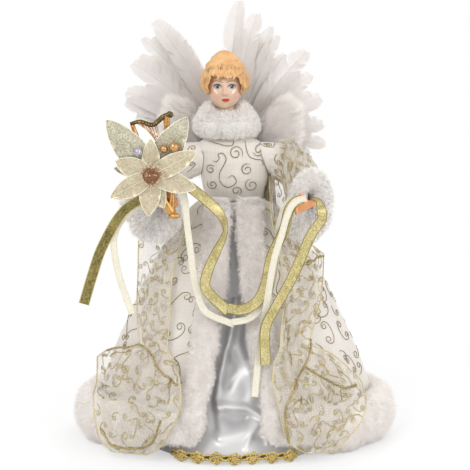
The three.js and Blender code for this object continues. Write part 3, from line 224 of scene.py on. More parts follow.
def capped(rings, low, high):
    """Points and faces of rings in a row, closed by a fan to a point at each end."""
    count, sides = rings.shape[:2]
    k = np.arange(sides)
    n = (k + 1) % sides
    end = (count - 1) * sides
    faces = [
        grid_quads(count, sides, False, True),
        np.stack([n, k, np.full(sides, count * sides)], -1),
        np.stack([end + k, end + n, np.full(sides, count * sides + 1)], -1),
    ]
    return np.concatenate([rings.reshape(-1, 3), [low, high]]), faces


def tube(path, radius, sides=6):
    """Points and faces of a round tube along a path."""
    path = np.asarray(path, float)
    u, v = frames_along(path)
    return capped(rings_round(path, u, v, radius, radius, sides), path[0], path[-1])


def twisted_cord(path, radius, swell=0.25, twist=2):
    """A tube that is thick and thin by turns, as a twisted cord looks, with twist places to a turn."""
    return tube(path, radius * (1 + swell * np.cos(np.arange(len(path)) * TURN / twist)))


def unit_ball(columns, rows, start=0.0):
    up = np.linspace(0.0, math.pi, rows)[:, None]
    around = turns(columns)[None] + start
    return stack(np.sin(up) * np.cos(around), np.sin(up) * np.sin(around), -np.cos(up)).reshape(-1, 3)


def ball(centre, radii, columns, rows):
    points = np.asarray(centre) + unit_ball(columns, rows) * np.asarray(radii)
    return points, grid_quads(rows, columns, False, True)


def spline(points, steps):
    """A smooth curve through points, with steps spans between each two."""
    points = np.asarray(points, float)
    padded = np.concatenate([[2 * points[0] - points[1]], points, [2 * points[-1] - points[-2]]])
    out = []
    for i in range(len(points) - 1):
        p0, p1, p2, p3 = padded[i : i + 4]
        t0 = 0.0
        t1 = t0 + max(np.linalg.norm(p1 - p0) ** 0.5, 1e-4)
        t2 = t1 + max(np.linalg.norm(p2 - p1) ** 0.5, 1e-4)
        t3 = t2 + max(np.linalg.norm(p3 - p2) ** 0.5, 1e-4)
        t = np.linspace(t1, t2, steps, endpoint=False)[:, None]
        a1 = (t1 - t) / (t1 - t0) * p0 + (t - t0) / (t1 - t0) * p1
        a2 = (t2 - t) / (t2 - t1) * p1 + (t - t1) / (t2 - t1) * p2
        a3 = (t3 - t) / (t3 - t2) * p2 + (t - t2) / (t3 - t2) * p3
        b1 = (t2 - t) / (t2 - t0) * a1 + (t - t0) / (t2 - t0) * a2
        b2 = (t3 - t) / (t3 - t1) * a2 + (t - t1) / (t3 - t1) * a3
        out.append((t2 - t) / (t2 - t1) * b1 + (t - t1) / (t2 - t1) * b2)
    out.append(points[-1:])
    return np.concatenate(out)


def evenly(path, count):
    """The same path with count points at equal distances."""
    path = np.asarray(path, float)
    along = np.concatenate([[0], np.cumsum(np.linalg.norm(np.diff(path, axis=0), axis=1))])
    at = np.linspace(0, along[-1], count)
    return np.stack([np.interp(at, along, path[:, k]) for k in range(path.shape[1])], -1)


def line_on(path, normals, width, rise):
    """A raised line of thread on cloth: two slopes over a path, pointed at both ends."""
    path = np.asarray(path, float)
    side = unit(np.cross(unit(np.gradient(path, axis=0)), normals))
    from_end = np.minimum(np.linspace(0, 1, len(path)), np.linspace(1, 0, len(path)))
    reach = side * width * np.minimum(1, 6 * from_end + 0.35)[:, None] / 2
    rows = np.stack([path - reach, path + normals * rise, path + reach], 1)
    return rows.reshape(-1, 3), grid_quads(len(path), 3)


def fused(parts, voxel, smoothing):
    """Parts melted into one skin: points in millimetres and quads."""
    soup = Soup()
    for points, faces in parts:
        soup.add(points, faces)
    source = soup.piece("fusing", None)
    remesh = source.modifiers.new("remesh", "REMESH")
    remesh.mode = "VOXEL"
    remesh.voxel_size = voxel * MM
    relax = source.modifiers.new("relax", "SMOOTH")
    relax.factor = 0.5
    relax.iterations = smoothing
    result = source.evaluated_get(bpy.context.evaluated_depsgraph_get()).to_mesh()
    co = np.zeros(len(result.vertices) * 3, np.float32)
    result.vertices.foreach_get("co", co)
    quads = np.array([p.vertices[:] for p in result.polygons if len(p.vertices) == 4], int)
    bpy.data.objects.remove(source)
    return co.reshape(-1, 3).astype(float) / MM, quads


def scatter(points, faces, count, picker):
    """Places on a surface of quads, spread by area, with the outward direction there."""
    points = np.asarray(points, float)
    a, b, c, d = (points[faces[:, k]] for k in range(4))
    tris = np.concatenate([np.stack([a, b, c], 1), np.stack([a, c, d], 1)])
    cross = np.cross(tris[:, 1] - tris[:, 0], tris[:, 2] - tris[:, 0])
    area = np.linalg.norm(cross, axis=1)
    pick = picker.choice(len(tris), count, p=area / area.sum())
    u, v = picker.random((2, count, 1))
    flip = u + v > 1
    u, v = np.where(flip, 1 - u, u), np.where(flip, 1 - v, v)
    chosen = tris[pick]
    return chosen[:, 0] * (1 - u - v) + chosen[:, 1] * u + chosen[:, 2] * v, unit(cross[pick])


# Pile: how far strands lean by chance, and how steeply they stand
PILE_WILD = 0.22
PILE_STEEP = 0.42
STRANDS_IN_TUFT = 30


def pile(roots, outward, length, width, picker, flow, clump):
    """Fur strands: each is a stem and a tip, bent towards the tip of its tuft, with its flat side outward."""
    count = len(roots)
    flow = np.asarray(flow, float)
    flow = flow - outward * (outward @ flow)[:, None]
    tufts = picker.choice(count, max(8, count // STRANDS_IN_TUFT), replace=False)
    tree = kdtree.KDTree(len(tufts))
    for i, k in enumerate(tufts):
        tree.insert(roots[k], i)
    tree.balance()
    nearest = np.array([tree.find(p)[1] for p in roots])
    lean = picker.normal(size=(len(tufts), 3)) * PILE_WILD
    tuft_way = unit(outward[tufts] * PILE_STEEP + flow[tufts] + lean)
    stray = picker.normal(size=(count, 3)) * PILE_WILD * 0.6
    direction = unit(outward * PILE_STEEP + flow + lean[nearest] + stray)
    long = length * picker.uniform(0.6, 1.15, (count, 1))
    tuft_tip = roots[tufts][nearest] + tuft_way[nearest] * long
    near = np.linalg.norm(roots - roots[tufts][nearest], axis=1, keepdims=True) < clump
    pull = np.where(near, picker.uniform(0.05, 0.3, (count, 1)), 0)
    tip = mix(roots + direction * long, tuft_tip, pull)
    middle = roots + (outward * 0.35 + direction * 0.65) * long * 0.5
    across = unit(np.cross(unit(tip - roots), outward + 0.05 * picker.normal(size=(count, 3))))
    side = unit(across + 0.2 * picker.normal(size=(count, 3))) * width / 2
    rows = [roots - side, roots + side, middle - side * 0.8, middle + side * 0.8, tip]
    k = np.arange(count)[:, None] * len(rows)
    faces = [k + np.array([[0, 1, 3, 2]]), k + np.array([[2, 3, 4]])]
    return np.stack(rows, 1).reshape(-1, 3), faces, np.repeat(picker.uniform(0, 1, count), len(rows))


# Materials
class Finish:
    """A procedural material, built node by node round one surface shader."""

    def __init__(self, name, **values):
        self.material = bpy.data.materials.new(name)
        self.material.use_nodes = True
        self.tree = self.material.node_tree
        self.surface = self.tree.nodes["Principled BSDF"]
        self.place = self.add("ShaderNodeTexCoord").outputs["Object"]
        for key, value in values.items():
            self.surface.inputs[key.replace("_", " ")].default_value = value

    def add(self, kind, **values):
        node = self.tree.nodes.new(kind)
        for key, value in values.items():
            setattr(node, key, value)
        return node

    def link(self, output, target):
        self.tree.links.new(output, target)

    def feed(self, target, value):
        """A number, a colour or another node's output into a socket."""
        if isinstance(value, (int, float)):
            target.default_value = value
        elif isinstance(value, tuple):
            target.default_value = (*value, 1)
        else:
            self.link(value, target)

    def noise(self, scale, detail, rough=0.55, stretch=None):
        node = self.add("ShaderNodeTexNoise")
        node.inputs["Scale"].default_value = scale
        node.inputs["Detail"].default_value = detail
        node.inputs["Roughness"].default_value = rough
        source = self.place
        if stretch:
            mapping = self.add("ShaderNodeMapping")
            mapping.inputs["Scale"].default_value = stretch
            self.link(source, mapping.inputs["Vector"])
            source = mapping.outputs["Vector"]
        self.link(source, node.inputs["Vector"])
        return node.outputs["Fac"]

    def wave(self, scale, direction, vector):
        node = self.add("ShaderNodeTexWave", bands_direction=direction)
        node.inputs["Scale"].default_value = scale
        self.link(vector, node.inputs["Vector"])
        return node.outputs["Fac"]

    def cloth_place(self):
        return self.add("ShaderNodeUVMap", uv_map="cloth").outputs["UV"]

    def shade(self):
        return self.add("ShaderNodeAttribute", attribute_name="shade").outputs["Fac"]

    def ramp(self, value, *stops):
        node = self.add("ShaderNodeValToRGB")
        elements = node.color_ramp.elements
        while len(elements) < len(stops):
            elements.new(0.5)
        for element, (at, colour) in zip(elements, stops):
            element.position = at
            element.color = (*colour, 1)
        self.link(value, node.inputs["Fac"])
        return node.outputs["Color"]

    def blend(self, a, b, factor, kind="MIX"):
        node = self.add("ShaderNodeMix", data_type="RGBA", blend_type=kind)
        for target, value in ((node.inputs[0], factor), (node.inputs[6], a), (node.inputs[7], b)):
            self.feed(target, value)
        return node.outputs[2]

    def sum(self, a, b, kind="ADD"):
        node = self.add("ShaderNodeMath", operation=kind)
        for target, value in zip(node.inputs, (a, b)):
            self.feed(target, value)
        return node.outputs[0]

    def between(self, value, low, high):
        node = self.add("ShaderNodeMapRange")
        node.inputs["To Min"].default_value = low
        node.inputs["To Max"].default_value = high
        self.link(value, node.inputs["Value"])
        return node.outputs["Result"]

    def bump(self, height, depth, strength):
        node = self.add("ShaderNodeBump")
        node.inputs["Distance"].default_value = depth * MM
        node.inputs["Strength"].default_value = strength
        self.link(height, node.inputs["Height"])
        self.link(node.outputs["Normal"], self.surface.inputs["Normal"])

    def colour(self, source):
        self.link(source, self.surface.inputs["Base Color"])

    def rough(self, source):
        self.link(source, self.surface.inputs["Roughness"])

    def mix_in(self, shader, factor):
        """Another shader, mixed with the surface's own."""
        node = self.add("ShaderNodeMixShader")
        self.feed(node.inputs[0], factor)
        self.link(self.surface.outputs[0], node.inputs[1])
        self.link(shader.outputs[0], node.inputs[2])
        self.link(node.outputs[0], self.tree.nodes["Material Output"].inputs["Surface"])


def weave_of(finish, pitch):
    """Threads over and under at a pitch in millimetres, from the cloth's own length and width."""
    place = finish.cloth_place()
    scale = 1 / (pitch * MM) / TURN * math.pi / 10
    return finish.sum(finish.wave(scale, "X", place), finish.wave(scale, "Y", place), "MULTIPLY")


def fur_finish(name, low, high, deep, through=0.0):
    """Soft white between low and high, with deep patches; through is the share of light let through."""
    finish = Finish(name, Roughness=0.85, Sheen_Weight=0.3, Sheen_Roughness=0.4)
    patches = finish.noise(90, 3)
    tone = finish.ramp(finish.shade(), (0.0, low), (1.0, high))
    tone = finish.blend(tone, finish.ramp(patches, (0.35, deep), (0.65, high)), 0.35)
    finish.colour(tone)
    finish.rough(finish.between(patches, 0.75, 0.95))
    passing = finish.add("ShaderNodeBsdfTranslucent")
    finish.link(tone, passing.inputs["Color"])
    finish.mix_in(passing, through)
    return finish.material


FUR_FINISHES = (
    fur_finish("fur_ground", (0.89, 0.855, 0.83), (0.945, 0.92, 0.90), (0.89, 0.86, 0.84)),
    fur_finish("fur_pile", (0.925, 0.895, 0.87), (0.965, 0.945, 0.925), (0.925, 0.895, 0.875), 0.55),
)
# Painted light: a lighter copy of the fur for the cuffs, their linings and the collar, to make up for the
# shade in their pile.
CUFF_FINISHES = (
    fur_finish("cuff_ground", (0.97, 0.95, 0.935), (0.99, 0.98, 0.97), (0.97, 0.95, 0.935)),
    fur_finish("cuff_pile", (0.985, 0.97, 0.955), (0.995, 0.985, 0.975), (0.98, 0.965, 0.95), 0.65),
)
DOWN_FINISHES = (
    fur_finish("down_ground", (0.94, 0.90, 0.87), (0.97, 0.94, 0.915), (0.94, 0.90, 0.87)),
    fur_finish("down_fluff", (0.955, 0.925, 0.90), (0.985, 0.965, 0.945), (0.955, 0.925, 0.90), 0.6),
)


def cloth_finish():
    finish = Finish("scroll_cloth", Roughness=0.7, Sheen_Weight=0.2, Sheen_Roughness=0.45)
    patches = finish.noise(45, 4)
    weave = weave_of(finish, 0.45)
    tone = finish.ramp(patches, (0.3, (0.70, 0.65, 0.59)), (0.7, (0.77, 0.73, 0.68)))
    threads = finish.ramp(weave, (0.0, (0.66, 0.61, 0.55)), (1.0, (0.86, 0.82, 0.77)))
    finish.colour(finish.blend(tone, threads, 0.2))
    finish.rough(finish.between(patches, 0.6, 0.8))
    finish.bump(weave, 0.04, 0.4)
    return finish.material


def metallic_finish(name, low, high, grain_scale, roughness, metal, deep=None, edge=None):
    """Glitter between two colours; deep lies where the shade value is low and edge where it is high."""
    finish = Finish(name, Roughness=roughness, Metallic=metal)
    grain = finish.noise(grain_scale, 2, 0.7)
    patches = finish.noise(120, 3)
    tone = finish.ramp(grain, (0.35, low), (0.65, high))
    tone = finish.blend(tone, finish.ramp(patches, (0.3, low), (0.7, high)), 0.35)
    if deep or edge:
        first, last = (0.0, deep or low), (1.0, edge or high)
        ends = finish.ramp(finish.shade(), first, (0.45, high), (0.75, high), last)
        most, none = (0.9,) * 3, (0.0,) * 3
        amount = finish.ramp(finish.shade(), (0.0, most), (0.5, none), (0.75, none), (1.0, most))
        tone = finish.blend(tone, ends, amount)
    finish.colour(tone)
    finish.rough(finish.between(grain, roughness - 0.13, roughness + 0.17))
    finish.bump(grain, 0.12, 0.7)
    return finish.material


def satin_finish():
    finish = Finish("satin_cloth", Roughness=0.36, Metallic=0.25, Anisotropic=0.3)
    patches = finish.noise(30, 3)
    # Painted shade and light: the satin is darker in the hollows of its folds and lighter on their ridges,
    # from the shade value.
    hollow, flank, ridge = (0.44, 0.43, 0.435), (0.74, 0.73, 0.73), (0.90, 0.895, 0.89)
    folds = finish.ramp(finish.shade(), (0.0, hollow), (0.45, flank), (1.0, ridge))
    clouds = finish.ramp(patches, (0.3, (0.66, 0.66, 0.67)), (0.7, (0.84, 0.84, 0.85)))
    finish.colour(finish.blend(folds, clouds, 0.3))
    finish.rough(finish.between(patches, 0.3, 0.42))
    finish.bump(finish.noise(1400, 2, 0.5, stretch=(1, 1, 0.2)), 0.03, 0.5)
    return finish.material


def skin_finish(name, low, high, roughness):
    finish = Finish(name, Roughness=roughness, Coat_Weight=0.15, Coat_Roughness=0.3)
    patches = finish.noise(180, 3)
    finish.colour(finish.ramp(patches, (0.3, low), (0.7, high)))
    finish.rough(finish.between(patches, roughness - 0.06, roughness + 0.08))
    finish.surface.inputs["Subsurface Weight"].default_value = 0.12
    finish.surface.inputs["Subsurface Radius"].default_value = (0.002, 0.001, 0.0007)
    finish.bump(finish.noise(700, 2), 0.04, 0.4)
    return finish.material


def organza_finish():
    finish = Finish("organza", Roughness=0.4, Sheen_Weight=0.35)
    weave = weave_of(finish, 0.35)
    patches = finish.noise(70, 4)
    glitter = finish.noise(1800, 2, 0.8)
    tone = finish.ramp(patches, (0.3, (0.60, 0.54, 0.45)), (0.7, (0.82, 0.77, 0.69)))
    sparks = finish.ramp(glitter, (0.45, (0.66, 0.58, 0.44)), (0.66, (1.0, 0.97, 0.92)))
    finish.colour(finish.blend(tone, sparks, 0.4))
    veil = finish.sum(finish.between(patches, 0.12, 0.42), finish.between(weave, 0.12, 0.2))
    finish.link(finish.sum(veil, finish.between(glitter, -0.08, 0.14)), finish.surface.inputs["Alpha"])
    finish.rough(finish.between(glitter, 0.3, 0.6))
    finish.bump(glitter, 0.05, 0.5)
    return finish.material


cloth_material = cloth_finish()
satin_material = satin_finish()
organza_material = organza_finish()
skin_material = skin_finish("face_skin", (0.72, 0.50, 0.38), (0.78, 0.57, 0.45), 0.42)
hand_material = skin_finish("hand_skin", (0.78, 0.33, 0.13), (0.86, 0.43, 0.20), 0.36)
feather_material = fur_finish(
    "feather_vane", (0.71, 0.63, 0.575), (0.83, 0.81, 0.795), (0.77, 0.74, 0.715), 0.35
)
# Low and high colour, scale of the grain, roughness and metal
thread_material = metallic_finish(
    "scroll_thread", (0.10, 0.07, 0.035), (0.46, 0.35, 0.17), 1500, 0.42, 0.5,
    deep=(0.05, 0.035, 0.02), edge=(0.74, 0.62, 0.36),
)
cord_material = metallic_finish(
    "gold_cord", (0.20, 0.14, 0.045), (0.60, 0.49, 0.23), 1100, 0.36, 0.6, edge=(0.78, 0.68, 0.40)
)
# Deep is painted shade in the braid's gaps and edge a painted highlight on its brightest loops.
gimp_material = metallic_finish(
    "gimp_cord", (0.36, 0.25, 0.06), (0.86, 0.68, 0.28), 1100, 0.26, 0.75,
    deep=(0.07, 0.05, 0.012), edge=(1.0, 0.92, 0.58),
)
# Deep is painted shade in the grooves of the moulded hair and edge a painted highlight on its ridges.
hair_material = metallic_finish(
    "moulded_hair", (0.68, 0.33, 0.125), (0.80, 0.53, 0.25), 110, 0.48, 0.0,
    deep=(0.26, 0.12, 0.04), edge=(0.86, 0.62, 0.32),
)
gold_ribbon_material = metallic_finish(
    "gold_ribbon", (0.30, 0.24, 0.07), (0.78, 0.69, 0.36), 1000, 0.32, 0.6, edge=(0.24, 0.18, 0.05)
)
dark_ribbon_material = metallic_finish(
    "dark_gold_ribbon", (0.05, 0.04, 0.012), (0.40, 0.33, 0.11), 900, 0.34, 0.7, edge=(0.60, 0.52, 0.24)
)
cream_ribbon_material = metallic_finish(
    "cream_ribbon", (0.66, 0.62, 0.49), (0.80, 0.76, 0.64), 900, 0.38, 0.0
)
harp_material = metallic_finish("harp_gilding", (0.42, 0.19, 0.05), (0.75, 0.43, 0.15), 500, 0.28, 0.8)
harp_neck_material = metallic_finish(
    "harp_dark_gilding", (0.03, 0.022, 0.008), (0.20, 0.14, 0.05), 500, 0.25, 0.8
)
petal_material = metallic_finish(
    "petal_cloth", (0.44, 0.36, 0.23), (0.72, 0.65, 0.49), 800, 0.32, 0.35,
    deep=(0.30, 0.22, 0.12), edge=(0.90, 0.85, 0.68),
)
leaf_material = metallic_finish(
    "leaf_glitter", (0.30, 0.27, 0.16), (0.80, 0.76, 0.62), 800, 0.32, 0.45,
    deep=(0.30, 0.26, 0.16), edge=(0.90, 0.87, 0.74),
)
eye_bead_material = metallic_finish(
    "eye_beads", (0.20, 0.07, 0.03), (0.42, 0.22, 0.12), 700, 0.3, 0.4,
    deep=(0.10, 0.03, 0.015), edge=(0.80, 0.62, 0.38),
)
gold_berry_material = metallic_finish("gold_berry", (0.44, 0.23, 0.09), (0.60, 0.36, 0.17), 60, 0.18, 0.9)
pearl_material = metallic_finish("pearl", (0.42, 0.38, 0.42), (0.56, 0.52, 0.56), 60, 0.22, 0.5)
card_material = metallic_finish("cardboard", (0.50, 0.40, 0.27), (0.60, 0.50, 0.36), 160, 0.85, 0.0)
wire_material = metallic_finish("wrapped_wire", (0.66, 0.64, 0.60), (0.78, 0.76, 0.72), 900, 0.6, 0.0)
padding_material = metallic_finish("cotton_cover", (0.74, 0.70, 0.65), (0.82, 0.79, 0.74), 500, 0.9, 0.0)
# Painted shade: a dark finish for the sheet that stands for the shadow under the arm.
underarm_shade_material = metallic_finish("painted_underarm_shade", (0.15, 0.12, 0.07), (0.26, 0.22, 0.14), 700, 0.7, 0.1)

# The doll's frame, in the sizes of the solid model
GAP = 0.3
WALL = 1.0
HEAD_LEAN = 7
BODY_BASE = 154.6
BODY_TALL = 57
BODY_WIDE = 23.5
BODY_DEEP = 15
BODY_TOP = BODY_BASE + BODY_TALL
# Up the body: height, half width and half depth
BODY_SHARES = [
    [0, 0.78, 0.76], [0.236, 0.84, 0.78], [0.522, 0.97, 1], [0.707, 1, 0.96],
    [0.842, 0.98, 0.88], [0.92, 0.87, 0.75], [1, 0.6, 0.56],
]
WAIST_SHARE, WAIST_WIDE_SHARE, WAIST_DEEP_SHARE = BODY_SHARES[1]
CHEST_SHARE = BODY_SHARES[2][0]
TOP_WIDE_SHARE, TOP_DEEP_SHARE = BODY_SHARES[-1][1:]
SHOULDER_SHARE = 0.758
CHIN_OVER_BODY = 19.1
WAIST = BODY_BASE + WAIST_SHARE * BODY_TALL
SHOULDER = BODY_BASE + SHOULDER_SHARE * BODY_TALL
CHIN = BODY_TOP + CHIN_OVER_BODY
LEAN_START = BODY_BASE + CHEST_SHARE * BODY_TALL


def lean_at(z):
    return -HEAD_LEAN * smooth((np.asarray(z, float) - LEAN_START) / (CHIN - LEAN_START))


def body_half(z):
    """Half width and half depth of the body at a height."""
    share = (np.asarray(z, float) - BODY_BASE) / BODY_TALL
    return BODY_WIDE * read_table(BODY_SHARES, share, 1), BODY_DEEP * read_table(BODY_SHARES, share, 2)


def body_ring(z, angle, grow):
    """A point of the body at a height, at an angle from the doll's left."""
    wide, deep = body_half(z)
    return stack(lean_at(z) + (wide + grow) * np.cos(angle), (deep + grow) * np.sin(angle), z)


# Robe
HEM_FUR = {
    "wide": 115, "deep": 85, "thick": 12, "tall": 18, "foot": 0.5, "end_x": 28, "end_thick": 3.4,
    "end_tall": 12.5, "end_lift": 6, "taper": 32, "lump": 1, "lumps": 16,
}
TRIM_HALF_SPAN = 43
TRIM_PITCH = 7.4
TRIM_HEIGHT = 10
TRIM_THICK = 1.8
ROSETTE_PITCH = 12.3
HEM_FUR_TOP = 2 * HEM_FUR["tall"] - HEM_FUR["foot"]
ROBE_DROP = WAIST - HEM_FUR_TOP
ROBE_WIDE = 95.5
ROBE_DEEP = 65.5
ROBE_FLARE = 10
ROBE_FOLD = 2.4
WAIST_WIDE = BODY_WIDE * WAIST_WIDE_SHARE + 2 * GAP + 1.5 * WALL
WAIST_DEEP = BODY_DEEP * WAIST_DEEP_SHARE + 2 * GAP + 1.5 * WALL
BAND_THICK = 5
BAND_HALF = 10.5
# Down the robe: half width of the opening, in half widths of a fur band
OPENING_SHARES = [[0, 0.03], [0.12, 0.06], [0.32, 0.24], [0.62, 0.76], [0.82, 1.1], [1, 1.7]]
SATIN_WIDE = 86
SATIN_DEEP = 59
SATIN_HEM = 2
SATIN_FOLD = 5


def robe_share(z):
    return np.clip((WAIST - np.asarray(z, float)) / ROBE_DROP, 0, 1)


def robe_wide(z):
    return mix(WAIST_WIDE, ROBE_WIDE, robe_share(z) ** 0.68)


def robe_deep(z):
    return mix(WAIST_DEEP, ROBE_DEEP, robe_share(z) ** 0.68)


def from_front(angle):
    """The angle from the front, from minus to plus half a turn."""
    return (np.asarray(angle, float) + math.pi) % TURN - math.pi


def robe_point(angle, z, inset=0.0):
    share = robe_share(z)
    grow = ROBE_FOLD * share * (np.cos(12 * np.asarray(angle)) - 1) / 2 - inset
    flare = ROBE_FLARE * share**6 * np.exp(-((from_front(angle) / (0.111 * TURN)) ** 4))
    x = lean_at(z) + (robe_wide(z) + grow) * np.sin(angle)
    return stack(x, -(robe_deep(z) + grow) * np.cos(angle) - flare, z)


def hem_section(angle):
    """The hem fur's section at an angle: its centre's half sizes, thickness, height and middle."""
    angle = np.asarray(angle, float)
    lump = HEM_FUR["lump"] * (np.cos(HEM_FUR["lumps"] * angle) - 1) / 2
    x = np.abs(HEM_FUR["wide"] * np.sin(angle))
    full = np.where(np.cos(angle) < 0, 1, smooth((x - TRIM_HALF_SPAN - TRIM_PITCH / 2) / HEM_FUR["taper"]))
    thick = mix(HEM_FUR["end_thick"], HEM_FUR["thick"], full)
    tall = mix(HEM_FUR["end_tall"], HEM_FUR["tall"], full) + lump / 2
    middle = HEM_FUR["tall"] - HEM_FUR["foot"] + mix(HEM_FUR["end_lift"], 0, full)
    return HEM_FUR["wide"] + lump - thick, HEM_FUR["deep"] + lump - thick, thick, tall, middle


def half_opening(z):
    return BAND_HALF * read_table(OPENING_SHARES, robe_share(z))


def band_centre(side, z):
    return lean_at(z) - 1 + side * (half_opening(z) + BAND_HALF)


def coat_front(x, z):
    sine = np.clip((np.asarray(x, float) - lean_at(z)) / robe_wide(z), -1, 1)
    return robe_point(np.arcsin(sine), z)[..., 1]


def satin_share(z):
    return np.clip((WAIST - np.asarray(z, float)) / (WAIST - SATIN_HEM), 0, 1)


def satin_point(angle, z):
    angle = np.asarray(angle, float)
    share = satin_share(z)
    front = from_front(angle)
    bulge = (HEM_FUR["deep"] - SATIN_DEEP - WALL / 2 - GAP - TRIM_THICK) * share**7
    bulge = bulge * np.exp(-((front / (0.108 * TURN)) ** 6))
    wide = mix(BODY_WIDE * WAIST_WIDE_SHARE + GAP + WALL / 2, SATIN_WIDE, share**0.8)
    deep = mix(BODY_DEEP * WAIST_DEEP_SHARE + GAP + WALL / 2, SATIN_DEEP, share**0.8)
    near = 1 - np.exp(-((front / 0.9) ** 2) / 2) / 2
    fold = SATIN_FOLD * share * near * (np.cos(9 * angle + 1.2 * share) - 1) / 2
    return stack(lean_at(z) + (wide + fold) * np.sin(angle), -(deep + fold) * np.cos(angle) - bulge, z)


def robe_front(x, z):
    """What lies furthest forward at a place on the robe's front."""
    front = coat_front(x, z) - WALL / 2
    for side in (-1, 1):
        middle = band_centre(side, z)
        off = (x - middle) / BAND_HALF
        band = coat_front(middle, z) - WALL / 2 - GAP - BAND_THICK * (1 + dome(off))
        front = np.where((z < WAIST) & (np.abs(off) < 1), np.minimum(front, band), front)
    angle = np.arcsin(np.clip(x / HEM_FUR["wide"], -1, 1))
    _, deep, thick, tall, middle = hem_section(angle)
    up = (z - middle) / tall
    fur = -deep * np.cos(angle) - thick * dome(up)
    return np.where((np.abs(x) > HEM_FUR["end_x"]) & (np.abs(up) < 1), np.minimum(front, fur), front)


def under_cloth(x, z, reach):
    """What lies furthest forward within reach of a place on the robe's front."""
    steps = (-reach, 0, reach)
    return np.min([robe_front(x + dx, z + dz) for dx in steps for dz in steps], axis=0)


# Floor and lights: place in metres, size and power of each lamp
LAMPS = {
    "key": ((-0.55, -0.95, 0.95), 0.55, 5.2),
    "fill": ((0.8, -0.8, 0.5), 0.7, 3.2),
    "rim": ((0.3, 0.9, 0.9), 0.5, 2.5),
}
LAMPS_AIM = (0, 0, 0.14)
WORLD_LIGHT = 0.83
FLOOR_HALF = 6


def make_floor():
    """Pale paper that keeps the object's shadow and turns plain white further off."""
    corners = [(x * FLOOR_HALF, y * FLOOR_HALF, 0) for x, y in ((-1, -1), (1, -1), (1, 1), (-1, 1))]
    mesh = bpy.data.meshes.new("floor")
    mesh.from_pydata(corners, [], [(0, 1, 2, 3)])
    finish = Finish("floor_paper", Roughness=0.9)
    finish.colour(finish.ramp(finish.noise(3, 2), (0.3, (0.93, 0.93, 0.93)), (0.7, (0.95, 0.95, 0.95))))
    glow = finish.add("ShaderNodeEmission")
    seen_directly = finish.add("ShaderNodeLightPath").outputs["Is Camera Ray"]
    length = finish.add("ShaderNodeVectorMath", operation="LENGTH")
    finish.link(finish.place, length.inputs[0])
    far = finish.add("ShaderNodeMapRange", interpolation_type="SMOOTHSTEP")
    for socket, amount in (("From Min", 0.1), ("From Max", 0.3), ("To Min", 0.55), ("To Max", 1.0)):
        far.inputs[socket].default_value = amount
    finish.link(length.outputs["Value"], far.inputs["Value"])
    finish.mix_in(glow, finish.sum(seen_directly, far.outputs["Result"], "MULTIPLY"))
    mesh.materials.append(finish.material)
    floor = bpy.data.objects.new("floor", mesh)
    bpy.context.scene.collection.objects.link(floor)


def make_world():
    """Even light, with plain white where the camera looks past the object."""
    world = bpy.data.worlds.new("surround")
    bpy.context.scene.world = world
    world.use_nodes = True
    tree = world.node_tree
    lit = tree.nodes["Background"]
    seen = tree.nodes.new("ShaderNodeBackground")
    for node, strength in ((lit, WORLD_LIGHT), (seen, 1.0)):
        node.inputs["Color"].default_value = (1, 1, 1, 1)
        node.inputs["Strength"].default_value = strength
    path = tree.nodes.new("ShaderNodeLightPath")
    either = tree.nodes.new("ShaderNodeMath")
    either.operation = "MAXIMUM"
    tree.links.new(path.outputs["Is Camera Ray"], either.inputs[0])
    tree.links.new(path.outputs["Is Transmission Ray"], either.inputs[1])
    choose = tree.nodes.new("ShaderNodeMixShader")
    for k, node in enumerate((either, lit, seen)):
        tree.links.new(node.outputs[0], choose.inputs[k])
    tree.links.new(choose.outputs[0], tree.nodes["World Output"].inputs["Surface"])


def make_lamps():
    for name, (place, size, power) in LAMPS.items():
        data = bpy.data.lights.new(name, "AREA")
        data.energy = power
        data.size = size
        lamp = bpy.data.objects.new(name, data)
        lamp.location = place
        lamp.rotation_euler = (Vector(LAMPS_AIM) - Vector(place)).to_track_quat("-Z", "Y").to_euler()
        bpy.context.scene.collection.objects.link(lamp)


make_floor()
make_world()
make_lamps()
bpy.context.scene.view_settings.view_transform = "Standard"

# Solid pieces that keep their own shape get a finish
for node, material in (
    ("base_cone", card_material),
    ("cone_cap", card_material),
    ("wing_card", card_material),
    ("arm_wire_right", wire_material),
    ("arm_wire_left", wire_material),
):
    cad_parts[node].data.materials.clear()
    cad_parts[node].data.materials.append(material)


def sheet_area(piece):
    """Area of a piece's cloth in square metres, one layer."""
    mesh = piece.data
    area = np.zeros(len(mesh.polygons), np.float32)
    mesh.polygons.foreach_get("area", area)
    return float(area.sum())


def hang_sheet(piece, flat):
    """Works out a cloth's area, up to that of the flat size, and does nothing more with it."""
    area = min(sheet_area(piece), flat[0] * flat[1])


def cloth(name, rows, material, body, wrapped, replaces):
    """A sheet of cloth from rows of points; its uv runs in metres along the cloth."""
    rows = np.asarray(rows, float)
    count, width = rows.shape[:2]
    across = np.linalg.norm(np.diff(rows, axis=1, append=rows[:, :1]), axis=2)
    u = np.concatenate([np.zeros((count, 1)), np.cumsum(across, axis=1)[:, :-1]], axis=1)
    if wrapped:
        u = np.broadcast_to(u.mean(0), u.shape)
    v = np.cumsum(np.linalg.norm(np.diff(rows, axis=0, prepend=rows[:1]), axis=2), axis=0)
    uv = np.stack([u, v], -1) * MM
    faces = grid_quads(count, width, False, wrapped)
    return add_mesh(name, rows, faces, material, body, replaces, uv=uv)

# Embroidery
THREAD_WIDE = 0.62
THREAD_RISE = 0.3
THREAD_LIFT = 0.15
THREAD_STEPS = 64
# Kinds of scroll as often as they are picked, and the size of each
SCROLL_KINDS = ("s", "s", "c", "curl")
SCROLL_SIZES = {"s": 1, "c": 0.72, "curl": 0.5}


def turned(points, angle):
    """Flat points turned about zero."""
    sine, cosine = math.sin(angle), math.cos(angle)
    return points @ np.array([[cosine, sine], [-sine, cosine]])


